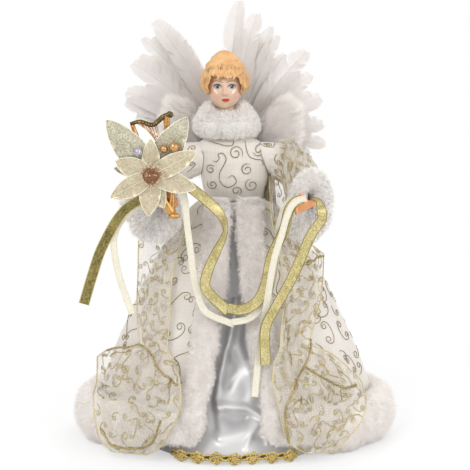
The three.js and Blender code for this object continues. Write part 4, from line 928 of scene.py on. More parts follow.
def scroll(kind, tall):
    """The path of a scroll of thread, tall millimetres long, upright about its own middle."""
    s = np.linspace(0 if kind == "curl" else -1, 1, THREAD_STEPS)
    turn = 8.2 * np.abs(s) ** 2.3
    if kind == "c":
        turn = np.sign(s) * (turn + 1.3 * np.abs(s))
    path = np.cumsum(np.stack([np.cos(turn), np.sin(turn)], -1), axis=0)
    way = path[-8:].mean(0) - path[:8].mean(0)
    path = turned(path, math.pi / 2 - math.atan2(way[1], way[0]))
    path = path - (path.max(0) + path.min(0)) / 2
    return path * tall / np.ptp(path, axis=0).max()


def on_grid(rows, i, j, wrapped):
    """The grid's points at fractional rows i and columns j."""
    count, columns = rows.shape[:2]
    i = np.clip(i, 0, count - 1.001)
    j = j % columns if wrapped else np.clip(j, 0, columns - 1.001)
    low_i, low_j = i.astype(int), j.astype(int) % columns
    next_j = (low_j + 1) % columns
    a, b = (i - low_i)[:, None], (j % 1)[:, None]
    low, high = (mix(rows[row, low_j], rows[row, next_j], b) for row in (low_i, low_i + 1))
    return mix(low, high, a)


def grid_normals(rows, wrapped, toward):
    down = np.gradient(rows, axis=0)
    across = (np.roll(rows, -1, 1) - np.roll(rows, 1, 1)) / 2 if wrapped else np.gradient(rows, axis=1)
    crossed = np.cross(across, down)
    outward = rows - rows.mean((0, 1)) if toward is None else np.broadcast_to(toward, rows.shape)
    if np.einsum("ijk,ijk->", crossed * (1, 1, 0.2), outward) < 0:
        crossed = -crossed
    return down, across, crossed


def embroider(
    soup, rows, apart, seed, wrapped=False, toward=None, tall=21, tries=2600, taken=(),
    width=THREAD_WIDE, border=3,
):
    """Scrolls of thread spread over a grid of cloth points, none nearer another than apart."""
    picker = np.random.default_rng(seed)
    count, columns = rows.shape[:2]
    down, across, crossed = grid_normals(rows, wrapped, toward)
    normals = unit(crossed)
    area = np.linalg.norm(crossed, axis=2).ravel()
    places = np.array(taken, float).reshape(-1, 3)
    for index in picker.choice(len(area), tries, p=area / area.sum()):
        i, j = divmod(int(index), columns)
        if not wrapped and (j < border or j >= columns - border) or i < border or i >= count - border:
            continue
        place = rows[i, j]
        if len(places) and np.linalg.norm(places - place, axis=1).min() < apart * picker.uniform(0.85, 1.1):
            continue
        places = np.concatenate([places, place[None]])
        kind = SCROLL_KINDS[picker.integers(len(SCROLL_KINDS))]
        path = scroll(kind, tall * picker.uniform(0.85, 1.1) * SCROLL_SIZES[kind])
        path = turned(path * (picker.choice([-1, 1]), 1), picker.uniform(0, TURN))
        first = unit(across[i, j])
        second = unit(down[i, j] - first * (down[i, j] @ first))
        steps = path / (np.linalg.norm(across[i, j]), down[i, j] @ second)
        at_i, at_j = i + steps[:, 1], j + steps[:, 0]
        held = (at_i > 0.5) & (at_i < count - 1.5)
        if not wrapped:
            held &= (at_j > 0.5) & (at_j < columns - 1.5)
        if held.sum() < 12:
            continue
        runs = np.split(np.arange(len(held)), np.flatnonzero(np.diff(held.astype(int))) + 1)
        run = max((r for r in runs if held[r[0]]), key=len)
        if len(run) < 8:
            continue
        path, rise = (on_grid(grid, at_i[run], at_j[run], wrapped) for grid in (rows, normals))
        lay_thread(soup, path, unit(rise), width, picker)


def lay_thread(soup, path, normals, width, picker):
    points, faces = line_on(path + normals * THREAD_LIFT, normals, width, THREAD_RISE)
    soup.add(points, faces, np.repeat(picker.uniform(0, 1, len(path)), 3))


# Padded body and bodice
def make_body():
    levels, sides = 25, 64
    heights = np.linspace(BODY_BASE, BODY_TOP, levels)
    points = body_ring(heights[:, None], turns(sides)[None], -0.2).reshape(-1, 3)
    points = pushed_out(points, points.mean(0), wave_noise(points, 14, 3) * 0.15)
    rings = points.reshape(levels, sides, 3)
    points, faces = capped(rings, rings[0].mean(0), rings[-1].mean(0))
    body = add_mesh("padded_body", points, faces, padding_material, "doll", ["torso"])


make_body()


def bodice_point(angle, z, rise=0.0):
    """Angle from the front, as on the robe."""
    p = body_ring(z, np.asarray(angle) - math.pi / 2, GAP + WALL / 2 + rise)
    p[..., 2] += (GAP + WALL / 2 + rise) * smooth((p[..., 2] - SHOULDER) / (BODY_TOP - SHOULDER))
    return p


# Scrolls on the front of the bodice: across and up
BODICE_SCROLLS = [
    [(-14.3, 196.4), (-12.6, 195.6), (-10.4, 198.2), (-11.2, 200.6), (-8.2, 201.4), (-5.9, 198.1),
        (-7.6, 193), (-10.1, 187.9), (-9.3, 181.1), (-4.2, 178.1), (0.9, 182), (-1.7, 186.6),
        (-4.6, 184.5)],
    [(4.6, 199.1), (4.7, 202.7), (2.5, 205.1), (-0.6, 205.2), (-2.7, 203.3), (-2.7, 200.7),
        (-1.1, 199), (1.1, 199), (2.4, 200.3), (2.3, 202), (1.2, 203), (0, 202.8), (-0.5, 202)],
    [(10.2, 194.2), (6.9, 194.3), (4.8, 192.3), (4.8, 189.5), (6.6, 187.7), (8.9, 187.9),
        (10.2, 189.5), (10, 191.3), (8.7, 192.2), (7.4, 191.9), (6.8, 191), (7.1, 190.1)],
    [(11.7, 201.8), (13.9, 199.6), (16.8, 199.8), (18.7, 201.8), (18.5, 204.3), (16.8, 205.8),
        (14.7, 205.6), (13.5, 204.2), (13.7, 202.5), (14.9, 201.6), (16.1, 201.8), (16.7, 202.7),
        (16.5, 203.5)],
    [(10.2, 184.1), (7.3, 181.9), (7, 178.6), (9, 176.2), (11.8, 176.1), (13.7, 177.8), (13.7, 180.1),
        (12.2, 181.5), (10.4, 181.4), (9.5, 180.2), (9.7, 179), (10.5, 178.5)],
    [(2.7, 172.4), (4.1, 174.7), (3.4, 177.2), (1.4, 178.2), (-0.6, 177.5), (-1.3, 175.7),
        (-0.5, 174.2), (0.8, 173.9), (1.8, 174.5), (2, 175.5), (1.4, 176.1)],
    [(-17.5, 208.5), (-10.1, 206.9), (-5.2, 205.9), (-1.6, 206.6), (-1, 209)],
    [(6.2, 209), (7.6, 203), (9.4, 199.4), (13, 197.4), (17.6, 196.2), (18.6, 192.4)],
    [(-17.9, 181.4), (-18, 178.7), (-16.3, 176.9), (-13.9, 176.9), (-12.5, 178.4), (-12.6, 180.4),
        (-13.9, 181.5), (-15.4, 181.3), (-16.2, 180.2), (-16, 179.1), (-15.2, 178.6), (-14.5, 178.9)],
    [(-13.4, 192.4), (-15.8, 193.3), (-18, 192.3), (-18.6, 190.2), (-17.6, 188.5), (-15.9, 188.1),
        (-14.6, 189.1), (-14.5, 190.4), (-15.3, 191.2), (-16.2, 191.2), (-16.6, 190.6)],
]


def make_bodice():
    heights = np.linspace(WAIST + GAP, BODY_TOP, 40)
    rows = bodice_point(turns(120)[None], heights[:, None])
    wrinkle = wave_noise(rows * (1, 1, 2.2), 16, 5) * 0.28
    rows = pushed_out(rows, stack(lean_at(rows[..., 2]), 0 * rows[..., 0], rows[..., 2]), wrinkle)
    piece = cloth("bodice_cloth", rows, cloth_material, "doll", True, ["bodice"])
    soup = Soup()
    picker = np.random.default_rng(7)
    taken = []
    for way in BODICE_SCROLLS:
        x, z = spline(way, 10).T
        turn = np.arcsin(np.clip((x - lean_at(z)) / body_half(z)[0], -0.99, 0.99))
        path = bodice_point(turn, z, 0.3)
        lay_thread(soup, path, unit(bodice_point(turn, z, 1.3) - path), THREAD_WIDE, picker)
        taken.extend(path[::8])
    embroider(soup, rows, apart=13, seed=71, wrapped=True, taken=taken, tall=16)
    threads = soup.piece("bodice_scrolls", thread_material, "doll", slot="scrollCloth")


make_bodice()


# Coat
def coat_angles(z):
    """Angles of the coat's two front edges at a height."""
    right, left = (np.arcsin((band_centre(side, z) - lean_at(z)) / robe_wide(z)) for side in (1, -1))
    return right, TURN + left


def coat_point(angle, z):
    """The coat, gathered at the waist."""
    return robe_point(angle, z, -0.55 * (1 - robe_share(z)) ** 2 * np.cos(46 * np.asarray(angle)))


def make_coat():
    z = mix(WAIST + WALL, HEM_FUR_TOP - 3, np.linspace(0, 1, 90) ** 1.1)
    right, left = coat_angles(z)
    angle = mix(right[:, None], left[:, None], np.linspace(0, 1, 360)[None])
    rows = coat_point(angle, z[:, None])
    soft = wave_noise(rows * (1, 1, 0.6), 30, 8) * 0.7 * robe_share(z)[:, None]
    rows = rows + unit(rows * (1, 1, 0)) * soft[..., None]
    piece = cloth("coat_cloth", rows, cloth_material, "doll", False, ["coat_skirt"])
    soup = Soup()
    embroider(soup, rows, apart=13.5, seed=72, tries=7000)
    threads = soup.piece("coat_scrolls", thread_material, "doll", slot="scrollCloth")
    hang_sheet(piece, (0.56, 0.15))


# Satin underskirt, and the folds on its front: rise or fall, half width, then places across and up
SATIN_CREASES = [
    (3.4, 2.6, [(0.8, 101.7), (-1.8, 84.9), (-8.7, 57.6), (-12.9, 36.5), (-10.4, 32.3)]),
    (3.6, 2.4, [(-10.4, 34.1), (-1.8, 33.3), (7.1, 32.5), (16, 27.8), (26.2, 19.9)]),
    (2.4, 4.2, [(10.9, 52.9), (12.2, 42.4), (11, 37.1)]),
    (2.6, 2.6, [(-10.3, 14.8), (-0.5, 16.5), (9.6, 20), (12.8, 23.3)]),
    (2.4, 1.8, [(7.1, 8.9), (10.9, 16.1), (15.9, 22)]),
    (1.8, 2, [(22.3, 11.5), (19.7, 18), (21, 23.3)]),
    (-3.4, 5.2, [(-7.5, 27), (-1.8, 24.7), (7.1, 24.7)]),
    (-2.6, 3.4, [(-13.2, 48.2), (-15.5, 32.4), (-14.2, 20.6)]),
    (-2.6, 4.4, [(-3, 67), (1.4, 57.8), (-5.6, 47.3)]),
    (-2, 3, [(9.6, 89.6), (7.1, 75.3), (9.7, 64.9)]),
    (-2.2, 2.4, [(14.1, 14.1), (19.7, 14.1)]),
]


def satin_folds(angle, share):
    """Folds of the hanging satin, from -1 in a hollow to 1 on a ridge."""
    off = from_front(angle)
    wide = np.sin(13 * off + 15 * share**1.3 + 1.3 * np.sin(6 * share + 3 * off) - 1.0)
    narrow = np.sin(29 * off - 17 * share + 1.6 * np.sin(8 * share + 1.0))
    return 0.72 * wide + 0.28 * narrow


def crease_rise(x, z):
    """Millimetres that the front creases lift the satin at a place."""
    rise = np.zeros(np.broadcast(x, z).shape)
    for height, half, way in SATIN_CREASES:
        way = evenly(spline(way, 8), 40)
        away = np.min([np.hypot(x - a, z - b) for a, b in way], axis=0)
        rise += height * np.exp(-((away / half) ** 2))
    return rise


def folded_satin(angle, z):
    """Points of the satin in its folds, and a painted shade for each, dark in a hollow and light on a ridge.
    """
    share = satin_share(z)
    held = 1 - 0.75 * smooth((share - 0.93) / 0.07)
    p = satin_point(angle, z)
    front = smooth((34 - np.abs(p[..., 0])) / 8) * (p[..., 1] < 0)
    creases = crease_rise(p[..., 0], p[..., 2]) * front
    folds = satin_folds(angle, share)
    rise = (2.9 * share**0.7 * folds * (1 - 0.75 * front) + 0.85 * creases) * held - 1.3 * share
    # Painted shade and light: low values in the hollows of the folds and creases, high on their ridges.
    shade = np.clip(0.5 + 0.5 * folds * (1 - 0.75 * front) + 0.17 * creases, 0, 1)
    return p + unit(p * (1, 1, 0)) * rise[..., None], shade


def make_satin():
    z = np.linspace(WAIST - WALL, SATIN_HEM, 200)[:, None]
    angle = turns(480)[None]
    rows, shade = folded_satin(angle + 0 * z, z + 0 * angle)
    piece = cloth("satin_skirt", rows, satin_material, "doll", True, ["satin_underskirt"])
    add_shade(piece.data, shade)
    hang_sheet(piece, (0.50, 0.175))


make_satin()
make_coat()


# Fur
PILE_MOST = 65000
STRAND_WIDE = 0.2
GROUND_SHADE = 0.6


def fur_piece(
    name, points, faces, node, body, count, length, flow, clump, seed, finishes=FUR_FINISHES
):
    """A soft ground and its pile of strands, in as many meshes as the count needs."""
    picker = np.random.default_rng(seed)
    batches = math.ceil(count / PILE_MOST)
    width = STRAND_WIDE
    points = points.reshape(-1, 3)
    corners = points[faces]
    crossed = np.cross(corners[:, 1] - corners[:, 0], corners[:, 2] - corners[:, 0])
    if np.einsum("ij,ij->", corners[:, 0] - points.mean(0), crossed) < 0:
        faces = faces[:, ::-1]
    shade = np.full(len(points), GROUND_SHADE)
    add_mesh(name, points, faces, finishes[0], body, [node], value=shade)
    for batch in range(batches):
        roots, outward = scatter(points, faces, count // batches, picker)
        strands, strand_faces, shade = pile(roots, outward, length, width, picker, flow, clump)
        strands[:, 2] = np.maximum(strands[:, 2], 0.05)
        label = name + "_pile" + (f"_{batch + 1}" if batches > 1 else "")
        add_mesh(label, strands, strand_faces, finishes[1], body, [node], value=shade)


def make_hem_fur():
    around, sides, inset = 260, 30, 2.0
    start = math.asin(HEM_FUR["end_x"] / HEM_FUR["wide"])
    share = np.linspace(0, 1, around)
    angle = mix(start, TURN - start, share)
    wide, deep, thick, tall, middle = hem_section(angle)
    size = np.clip(dome(np.clip(1 - np.minimum(share, 1 - share) / 0.012, 0, 1)), 0.25, 1)
    centre = stack(wide * np.sin(angle), -deep * np.cos(angle), middle)
    out = stack(np.sin(angle), -np.cos(angle), 0)
    ring = rings_round(centre, out, UP, (thick - inset) * size, (tall - inset) * size, sides)
    lumps = wave_noise(ring, 22, 11) * 0.9 + wave_noise(ring, 9, 12) * 0.4
    ring = pushed_out(ring, centre[:, None], lumps)
    ring[..., 2] = np.maximum(ring[..., 2], 0.3)
    faces = grid_quads(around, sides, False, True)
    fur_piece(
        "hem_fur", ring, faces, "coat_hem_fur", "doll",
        count=190000, length=4.2, flow=(0, 0, -0.35), clump=3.6, seed=21,
    )


make_hem_fur()


def make_front_fur(side, node):
    steps, sides, inset = 120, 24, 1.6
    share = np.linspace(-0.03, 1.175, steps)
    z = mix(WAIST, HEM_FUR_TOP, share)
    size = np.clip(dome(np.clip(-share / 0.034, 0, 1)), 0.8, 1) * (1 - 0.35 * smooth((share - 1.04) / 0.14))
    x = band_centre(side, z)
    half = BAND_HALF * size
    back = np.min([coat_front(x + half * k, z) for k in (-0.5, 0, 0.5)], axis=0)
    slope = (coat_front(x + GAP, z) - coat_front(x - GAP, z)) / (2 * GAP)
    along = unit(stack(1, slope, 0))
    normal = stack(along[:, 1], -along[:, 0], 0)
    centre = stack(x, back - WALL / 2 - GAP - BAND_THICK, z)
    ring = rings_round(centre, along, normal, half - inset, BAND_THICK * size - inset * 0.7, sides)
    lumps = wave_noise(ring, 18, 31 + side) * 0.6 + wave_noise(ring, 7, 33 + side) * 0.3
    ring = pushed_out(ring, centre[:, None], lumps)
    ring[..., 2] += 4.5 * smooth((share - 1.09) / 0.085)[:, None] * (np.cos(turns(sides)) ** 2)[None]
    faces = grid_quads(steps, sides, False, True)
    fur_piece(
        node + "_band", ring, faces, node, "doll",
        count=64000, length=3.4, flow=(0, 0, -0.5), clump=3.0, seed=41 + side,
    )


make_front_fur(-1, "front_fur_right")
make_front_fur(1, "front_fur_left")


# Sleeves and cuffs
ARMS = {
    "right": {
        "side": -1, "mouth_out": 54.5, "mouth_wide": 15.5, "wrist": (-51, -52, SHOULDER - 25), "ahead": 13.2,
        "flat": (0.125, 0.058), "points_to": (0.55, -0.83, 0.1),
    },
    "left": {
        "side": 1, "mouth_out": 49, "mouth_wide": 10.5, "wrist": (50.5, -55, SHOULDER - 25), "ahead": 10.2,
        "flat": (0.11, 0.055), "points_to": (-0.85, -0.5, -0.15),
    },
}
MOUTH_TALL = 20.5
CUFF_THICK = 5.8


def body_side_at(side, z):
    return lean_at(z) + side * (body_half(z)[0] + GAP + WALL)


def sleeve_section(arm, share):
    """A sleeve's section at a share of its length: centre, across, up, ahead and half sizes."""
    side = arm["side"]
    share = np.asarray(share, float)[..., None]
    start = np.array([body_side_at(side, SHOULDER) + side * GAP, 0, SHOULDER])
    mouth = np.array([side * arm["mouth_out"], -37, SHOULDER - 27])
    bend = np.array([mix(start[0], mouth[0], 0.75), 0, SHOULDER])
    centre = (1 - share) ** 2 * start + 2 * share * (1 - share) * bend + share**2 * mouth
    mouth_facing = unit([side * 0.35, -1, -0.2])
    facing = unit(mix(np.array([side, 0, 0.0]), mouth_facing, smooth(share)))
    u = unit(np.cross(facing, UP))
    v = np.cross(u, facing)
    flare = share[..., 0] ** 1.5
    return centre, u, v, facing, mix(9, arm["mouth_wide"], flare), mix(13, MOUTH_TALL, flare)


def sleeve_point(arm, share, angle, rise=0.0):
    centre, u, v, _, wide, tall = sleeve_section(arm, share)
    k = 1 + 0.9 * np.asarray(share) / MOUTH_TALL * np.cos(5 * angle)
    across = ((wide * k + rise) * np.cos(angle))[..., None]
    return centre + u * across + v * ((tall * k + rise) * np.sin(angle))[..., None]


def sag(share, angle):
    """How a sleeve's top sinks between the shoulder and the elbow."""
    return np.exp(-(((share - 0.12) / 0.3) ** 2)) * smooth(np.sin(angle))


def bodice_side(side, y, z):
    """Across place of the bodice's side at y and z."""
    wide, deep = body_half(z)
    return lean_at(z) + side * (wide + GAP + WALL) * dome(np.clip(y / (deep + GAP + WALL), -0.97, 0.97))


def make_veil(arm):
    """Sheer cloth laid over the top of a sleeve."""
    share = np.linspace(0.2, 0.97, 46)[:, None]
    angle = np.linspace(-0.35, math.pi + 0.3, 64)[None]
    rows = sleeve_point(arm, share + 0 * angle, angle + 0 * share, 1.5)
    rows[..., 2] -= 3.0 * sag(share, angle)
    centre = sleeve_section(arm, share + 0 * angle)[0]
    pleats = 0.5 * (1 + np.cos(26 * angle + 4 * share)) + 0.3 * wave_noise(rows, 9, 6)
    rows = pushed_out(rows, centre, pleats)
    piece = cloth("sleeve_veil", rows, organza_material, "left_arm", False, ())
    soup = Soup()
    for edge in (rows[:, 0], rows[:, -1]):
        soup.add(*twisted_cord(evenly(edge, 50), 0.4), 0.8)
    embroider(soup, rows, apart=8, seed=95, tall=12, tries=900, width=0.55, border=2)
    threads = soup.piece("sleeve_veil_threads", cord_material, "left_arm", slot="organza")
    hang_sheet(piece, (0.08, 0.042))


def make_sleeve(name, arm):
    rows, columns = 50, 110
    side = arm["side"]
    share = np.linspace(0, 1, rows)[:, None] + np.zeros((1, columns))
    angle = turns(columns)
    points = sleeve_point(arm, share, angle[None] + np.zeros((rows, 1)))
    first = points[0]
    lower = body_side_at(side, np.minimum(first[:, 2], SHOULDER))
    first[:, 0] = mix(lower, body_side_at(side, first[:, 2]), 0.6) + side * GAP
    points[1:4] = mix(points[:1], points[4:5], np.array([0.3, 0.55, 0.78])[:, None, None])
    seam = first * (1, 0.95, 1)
    seam[:, 2] = SHOULDER + (first[:, 2] - SHOULDER) * 0.94
    seam[:, 0] = bodice_side(side, seam[:, 1], seam[:, 2]) + side * 0.2
    swell = first * (0, 1, 1) - (0, 0, SHOULDER)
    inner = [mix(seam, first, k) + swell * 0.07 * math.sin(math.pi * k) for k in (0, 0.15, 0.4, 0.7)]
    share = np.concatenate([np.zeros((len(inner), columns)), share])
    points = np.concatenate([np.array(inner), points])
    crease = wave_noise(points * (1, 1, 1.6), 22, 51 + side) * 0.6 * np.sin(np.pi * share)
    puckers = 0.4 * np.exp(-share / 0.14) * (share > 0) * np.cos(17 * angle)
    points[..., 2] -= 3.5 * np.sin(np.pi * share**0.8) * smooth(-np.sin(angle))
    points[..., 2] -= 3.2 * sag(share, angle)
    points = pushed_out(points, sleeve_section(arm, share)[0], crease + puckers)
    label, node = "sleeve_cloth_" + name, "sleeve_" + name
    piece = cloth(label, points, cloth_material, None, True, [node])
    soup = Soup()
    embroider(soup, points, apart=11, seed=73 + side, wrapped=True, tall=15)
    threads = soup.piece("sleeve_scrolls_" + name, thread_material, slot="scrollCloth")
    for part in (piece, threads):
        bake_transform(part)
    if name == "left":
        make_veil(arm)
    hang_sheet(piece, arm["flat"])


def make_cuff(name, arm):
    around, sides, inset = 120, 24, 1.8
    centre, u, v, facing, wide, tall = sleeve_section(arm, 1.0)
    middle = centre + facing * (CUFF_THICK + GAP)
    angle = turns(around)
    cosine, sine = np.cos(angle)[:, None], np.sin(angle)[:, None]
    at = middle + u * wide * cosine + v * tall * sine
    thick = CUFF_THICK + 0.3 * (np.cos(7 * angle) - 1) - inset
    ring = rings_round(at, u * cosine + v * sine, facing, thick, thick, sides)
    ring = pushed_out(ring, at[:, None], wave_noise(ring, 15, 61 + arm["side"]) * 0.7)
    faces = grid_quads(around, sides, True, True)
    fur_piece(
        "cuff_" + name, ring, faces, "cuff_fur_" + name, name + "_arm",
        count=60000, length=4.2, flow=(0, 0, -0.35), clump=3.2, seed=71 + arm["side"], finishes=CUFF_FINISHES,
    )


def make_lining(name, arm):
    """Fleece that narrows from the cuff towards the wrist."""
    levels, sides, hole_half = 14, 80, 6.2
    centre, u, v, facing, wide, tall = sleeve_section(arm, 1.0)
    wrist = np.array(arm["wrist"], float)
    share = np.linspace(0, 1, levels)[:, None]
    angle = turns(sides)[None]
    hole = wrist + facing * ((centre + facing * 5 - wrist) @ facing)
    middle = mix(centre + facing * 8.5, hole - facing * 1.0, share[..., None])
    across = mix(wide - 3.0, hole_half, share) + 0.4 * np.cos(9 * angle) * share
    rows = middle + u * (across * np.cos(angle))[..., None]
    rows = rows + v * (mix(tall - 3.0, hole_half, share) * np.sin(angle))[..., None]
    rows = rows + facing * (1.6 * np.sin(math.pi * share) * (1 + 0.4 * np.cos(7 * angle)))[..., None]
    points = rows.reshape(-1, 3)
    faces = grid_quads(levels, sides, False, True)
    corners = points[faces]
    if (np.cross(corners[:, 1] - corners[:, 0], corners[:, 2] - corners[:, 0]) @ facing).sum() < 0:
        faces = faces[:, ::-1]
    picker = np.random.default_rng(161 + arm["side"])
    label, body = "cuff_lining_" + name, name + "_arm"
    shade = np.full(len(points), GROUND_SHADE)
    add_mesh(label, points, faces, CUFF_FINISHES[0], body, (), value=shade)
    roots, outward = scatter(points, faces, 18000, picker)
    strands, strand_faces, shade = pile(
        roots, outward, length=3.0, width=0.24, picker=picker, flow=(0, 0, -0.3), clump=3.0
    )
    add_mesh(label + "_pile", strands, strand_faces, CUFF_FINISHES[1], body, (), value=shade)


def make_underarm_shade():
    """Painted shade: a dark sheet between the bodice's side and the hanging strip, where the shadow under the
    arm falls.
    """
    top, bottom = 190, 158
    z = np.linspace(top, bottom, 40)[:, None]
    share = np.linspace(0, 1, 26)[None]
    outer = 27 + 2.5 * (top - z) / (top - bottom)
    x = mix(bodice_side(1, -5.0, z) - 0.5, outer, share)
    rows = stack(x, -4.5 - 1.2 * np.cos(9 * share + 0.05 * z), z)
    piece = cloth("underarm_shade_sheet", rows, underarm_shade_material, "doll", False, ())
    hang_sheet(piece, (0.014, 0.033))


make_underarm_shade()
for arm_name, arm_sizes in ARMS.items():
    make_lining(arm_name, arm_sizes)
    make_sleeve(arm_name, arm_sizes)
    make_cuff(arm_name, arm_sizes)

# Collar: from the neck out to the rim and from the underside up, in shares
COLLAR_SHARES = [
    [1, 0.25], [0.92, 0.48], [0.67, 0.78], [0.31, 1], [0.18, 0.99], [0, 0.68], [0, 0.2], [0.35, 0.02],
    [0.76, 0],
]
COLLAR_HALF = 24.3
COLLAR_FRONT = 21
COLLAR_BACK = 15
COLLAR_TALL = 23
COLLAR_DIP = 5.4
NECK_HALF = 6
PLATE_TALL = 4
HEAD_TALL = 33.4
HEAD_WIDE = 12.3
HEAD_DEEP = 13.5
SKULL = np.array([-HEAD_LEAN, -3.0, CHIN + HEAD_TALL / 2])
PLATE_BASE = BODY_TOP + GAP + 1
PLATE_TOP = PLATE_BASE + PLATE_TALL


def neck_at(z):
    return mix(lean_at(PLATE_TOP), -HEAD_LEAN, (z - PLATE_TOP) / (SKULL[2] - PLATE_TOP))


def make_collar():
    around, sides = 140, 36
    angle = turns(around)[:, None]
    section = evenly(spline(np.array(COLLAR_SHARES + COLLAR_SHARES[:1], float), 6), sides + 1)[:-1]
    section = mix(section, np.roll(section, 1, 0), 0.5)
    middle = np.array([0.5, 0.45])
    section = middle + (section - middle) * 0.94
    out_x, out_y = np.cos(angle), np.sin(angle)
    half_deep = mix(COLLAR_FRONT, COLLAR_BACK, smooth(1.2 * out_y))
    rim = 1 / np.hypot(out_x / COLLAR_HALF, out_y / half_deep) + 0.4 * (np.cos(8 * angle) - 1) - 1.6
    dip = COLLAR_DIP * smooth(-2 * out_y - 0.4)
    r = mix(NECK_HALF + GAP + 0.4, rim, section[None, :, 0])
    up = section[None, :, 1]
    z = BODY_TOP + 1.7 + up * (COLLAR_TALL - dip * smooth((up - 0.35) / 0.3)) - 0.8 * up
    ring = stack(neck_at(z) + r * out_x, r * out_y, z)
    ring = pushed_out(ring, ring.mean(1, keepdims=True), np.minimum(wave_noise(ring, 14, 81) * 0.5, 0.3))
    faces = grid_quads(around, sides, True, True)
    fur_piece(
        "collar", ring, faces, "fur_collar", "doll",
        count=64000, length=3.4, flow=(0, 0, -0.45), clump=3.0, seed=83, finishes=CUFF_FINISHES,
    )


make_collar()


# Head
# Features of the face in shares of the head, on both sides if off the middle: across, up, half sizes, rise
FACE_SHARES = [
    [0, -0.1, 0.1, 0.2, 0.09], [0, -0.26, 0.13, 0.07, 0.13], [0.1, -0.29, 0.07, 0.05, 0.05],
    [0.4, 0.02, 0.22, 0.12, -0.1], [0.4, 0.0, 0.15, 0.085, 0.075], [0.48, -0.32, 0.28, 0.18, 0.06],
    [0.07, -0.5, 0.09, 0.035, 0.055], [0, -0.585, 0.13, 0.04, 0.06], [0, -0.54, 0.2, 0.012, -0.02],
    [0, -0.86, 0.24, 0.13, 0.1], [0.34, 0.22, 0.26, 0.06, 0.035],
]


def skull_points(columns, rows):
    """Points of the head, and for each its place on a unit ball and how narrow the head is there."""
    p = unit_ball(columns, rows, -math.pi / 2)
    narrow = 1 - 0.14 * smooth(-p[:, 2]) * np.abs(p[:, 2])
    rise = np.zeros(len(p))
    for across, z, w, h, out in FACE_SHARES:
        for x in (across, -across) if across else (across,):
            rise += out * np.exp(-(((p[:, 0] * narrow - x) / w) ** 2) - ((p[:, 2] - z) / h) ** 2)
    rise *= p[:, 1] < 0
    deep = p[:, 1] * (HEAD_DEEP * (narrow + 1) / 2) - rise * HEAD_DEEP
    return stack(p[:, 0] * narrow * HEAD_WIDE, deep, p[:, 2] * (HEAD_TALL / 2)) + SKULL, p, narrow


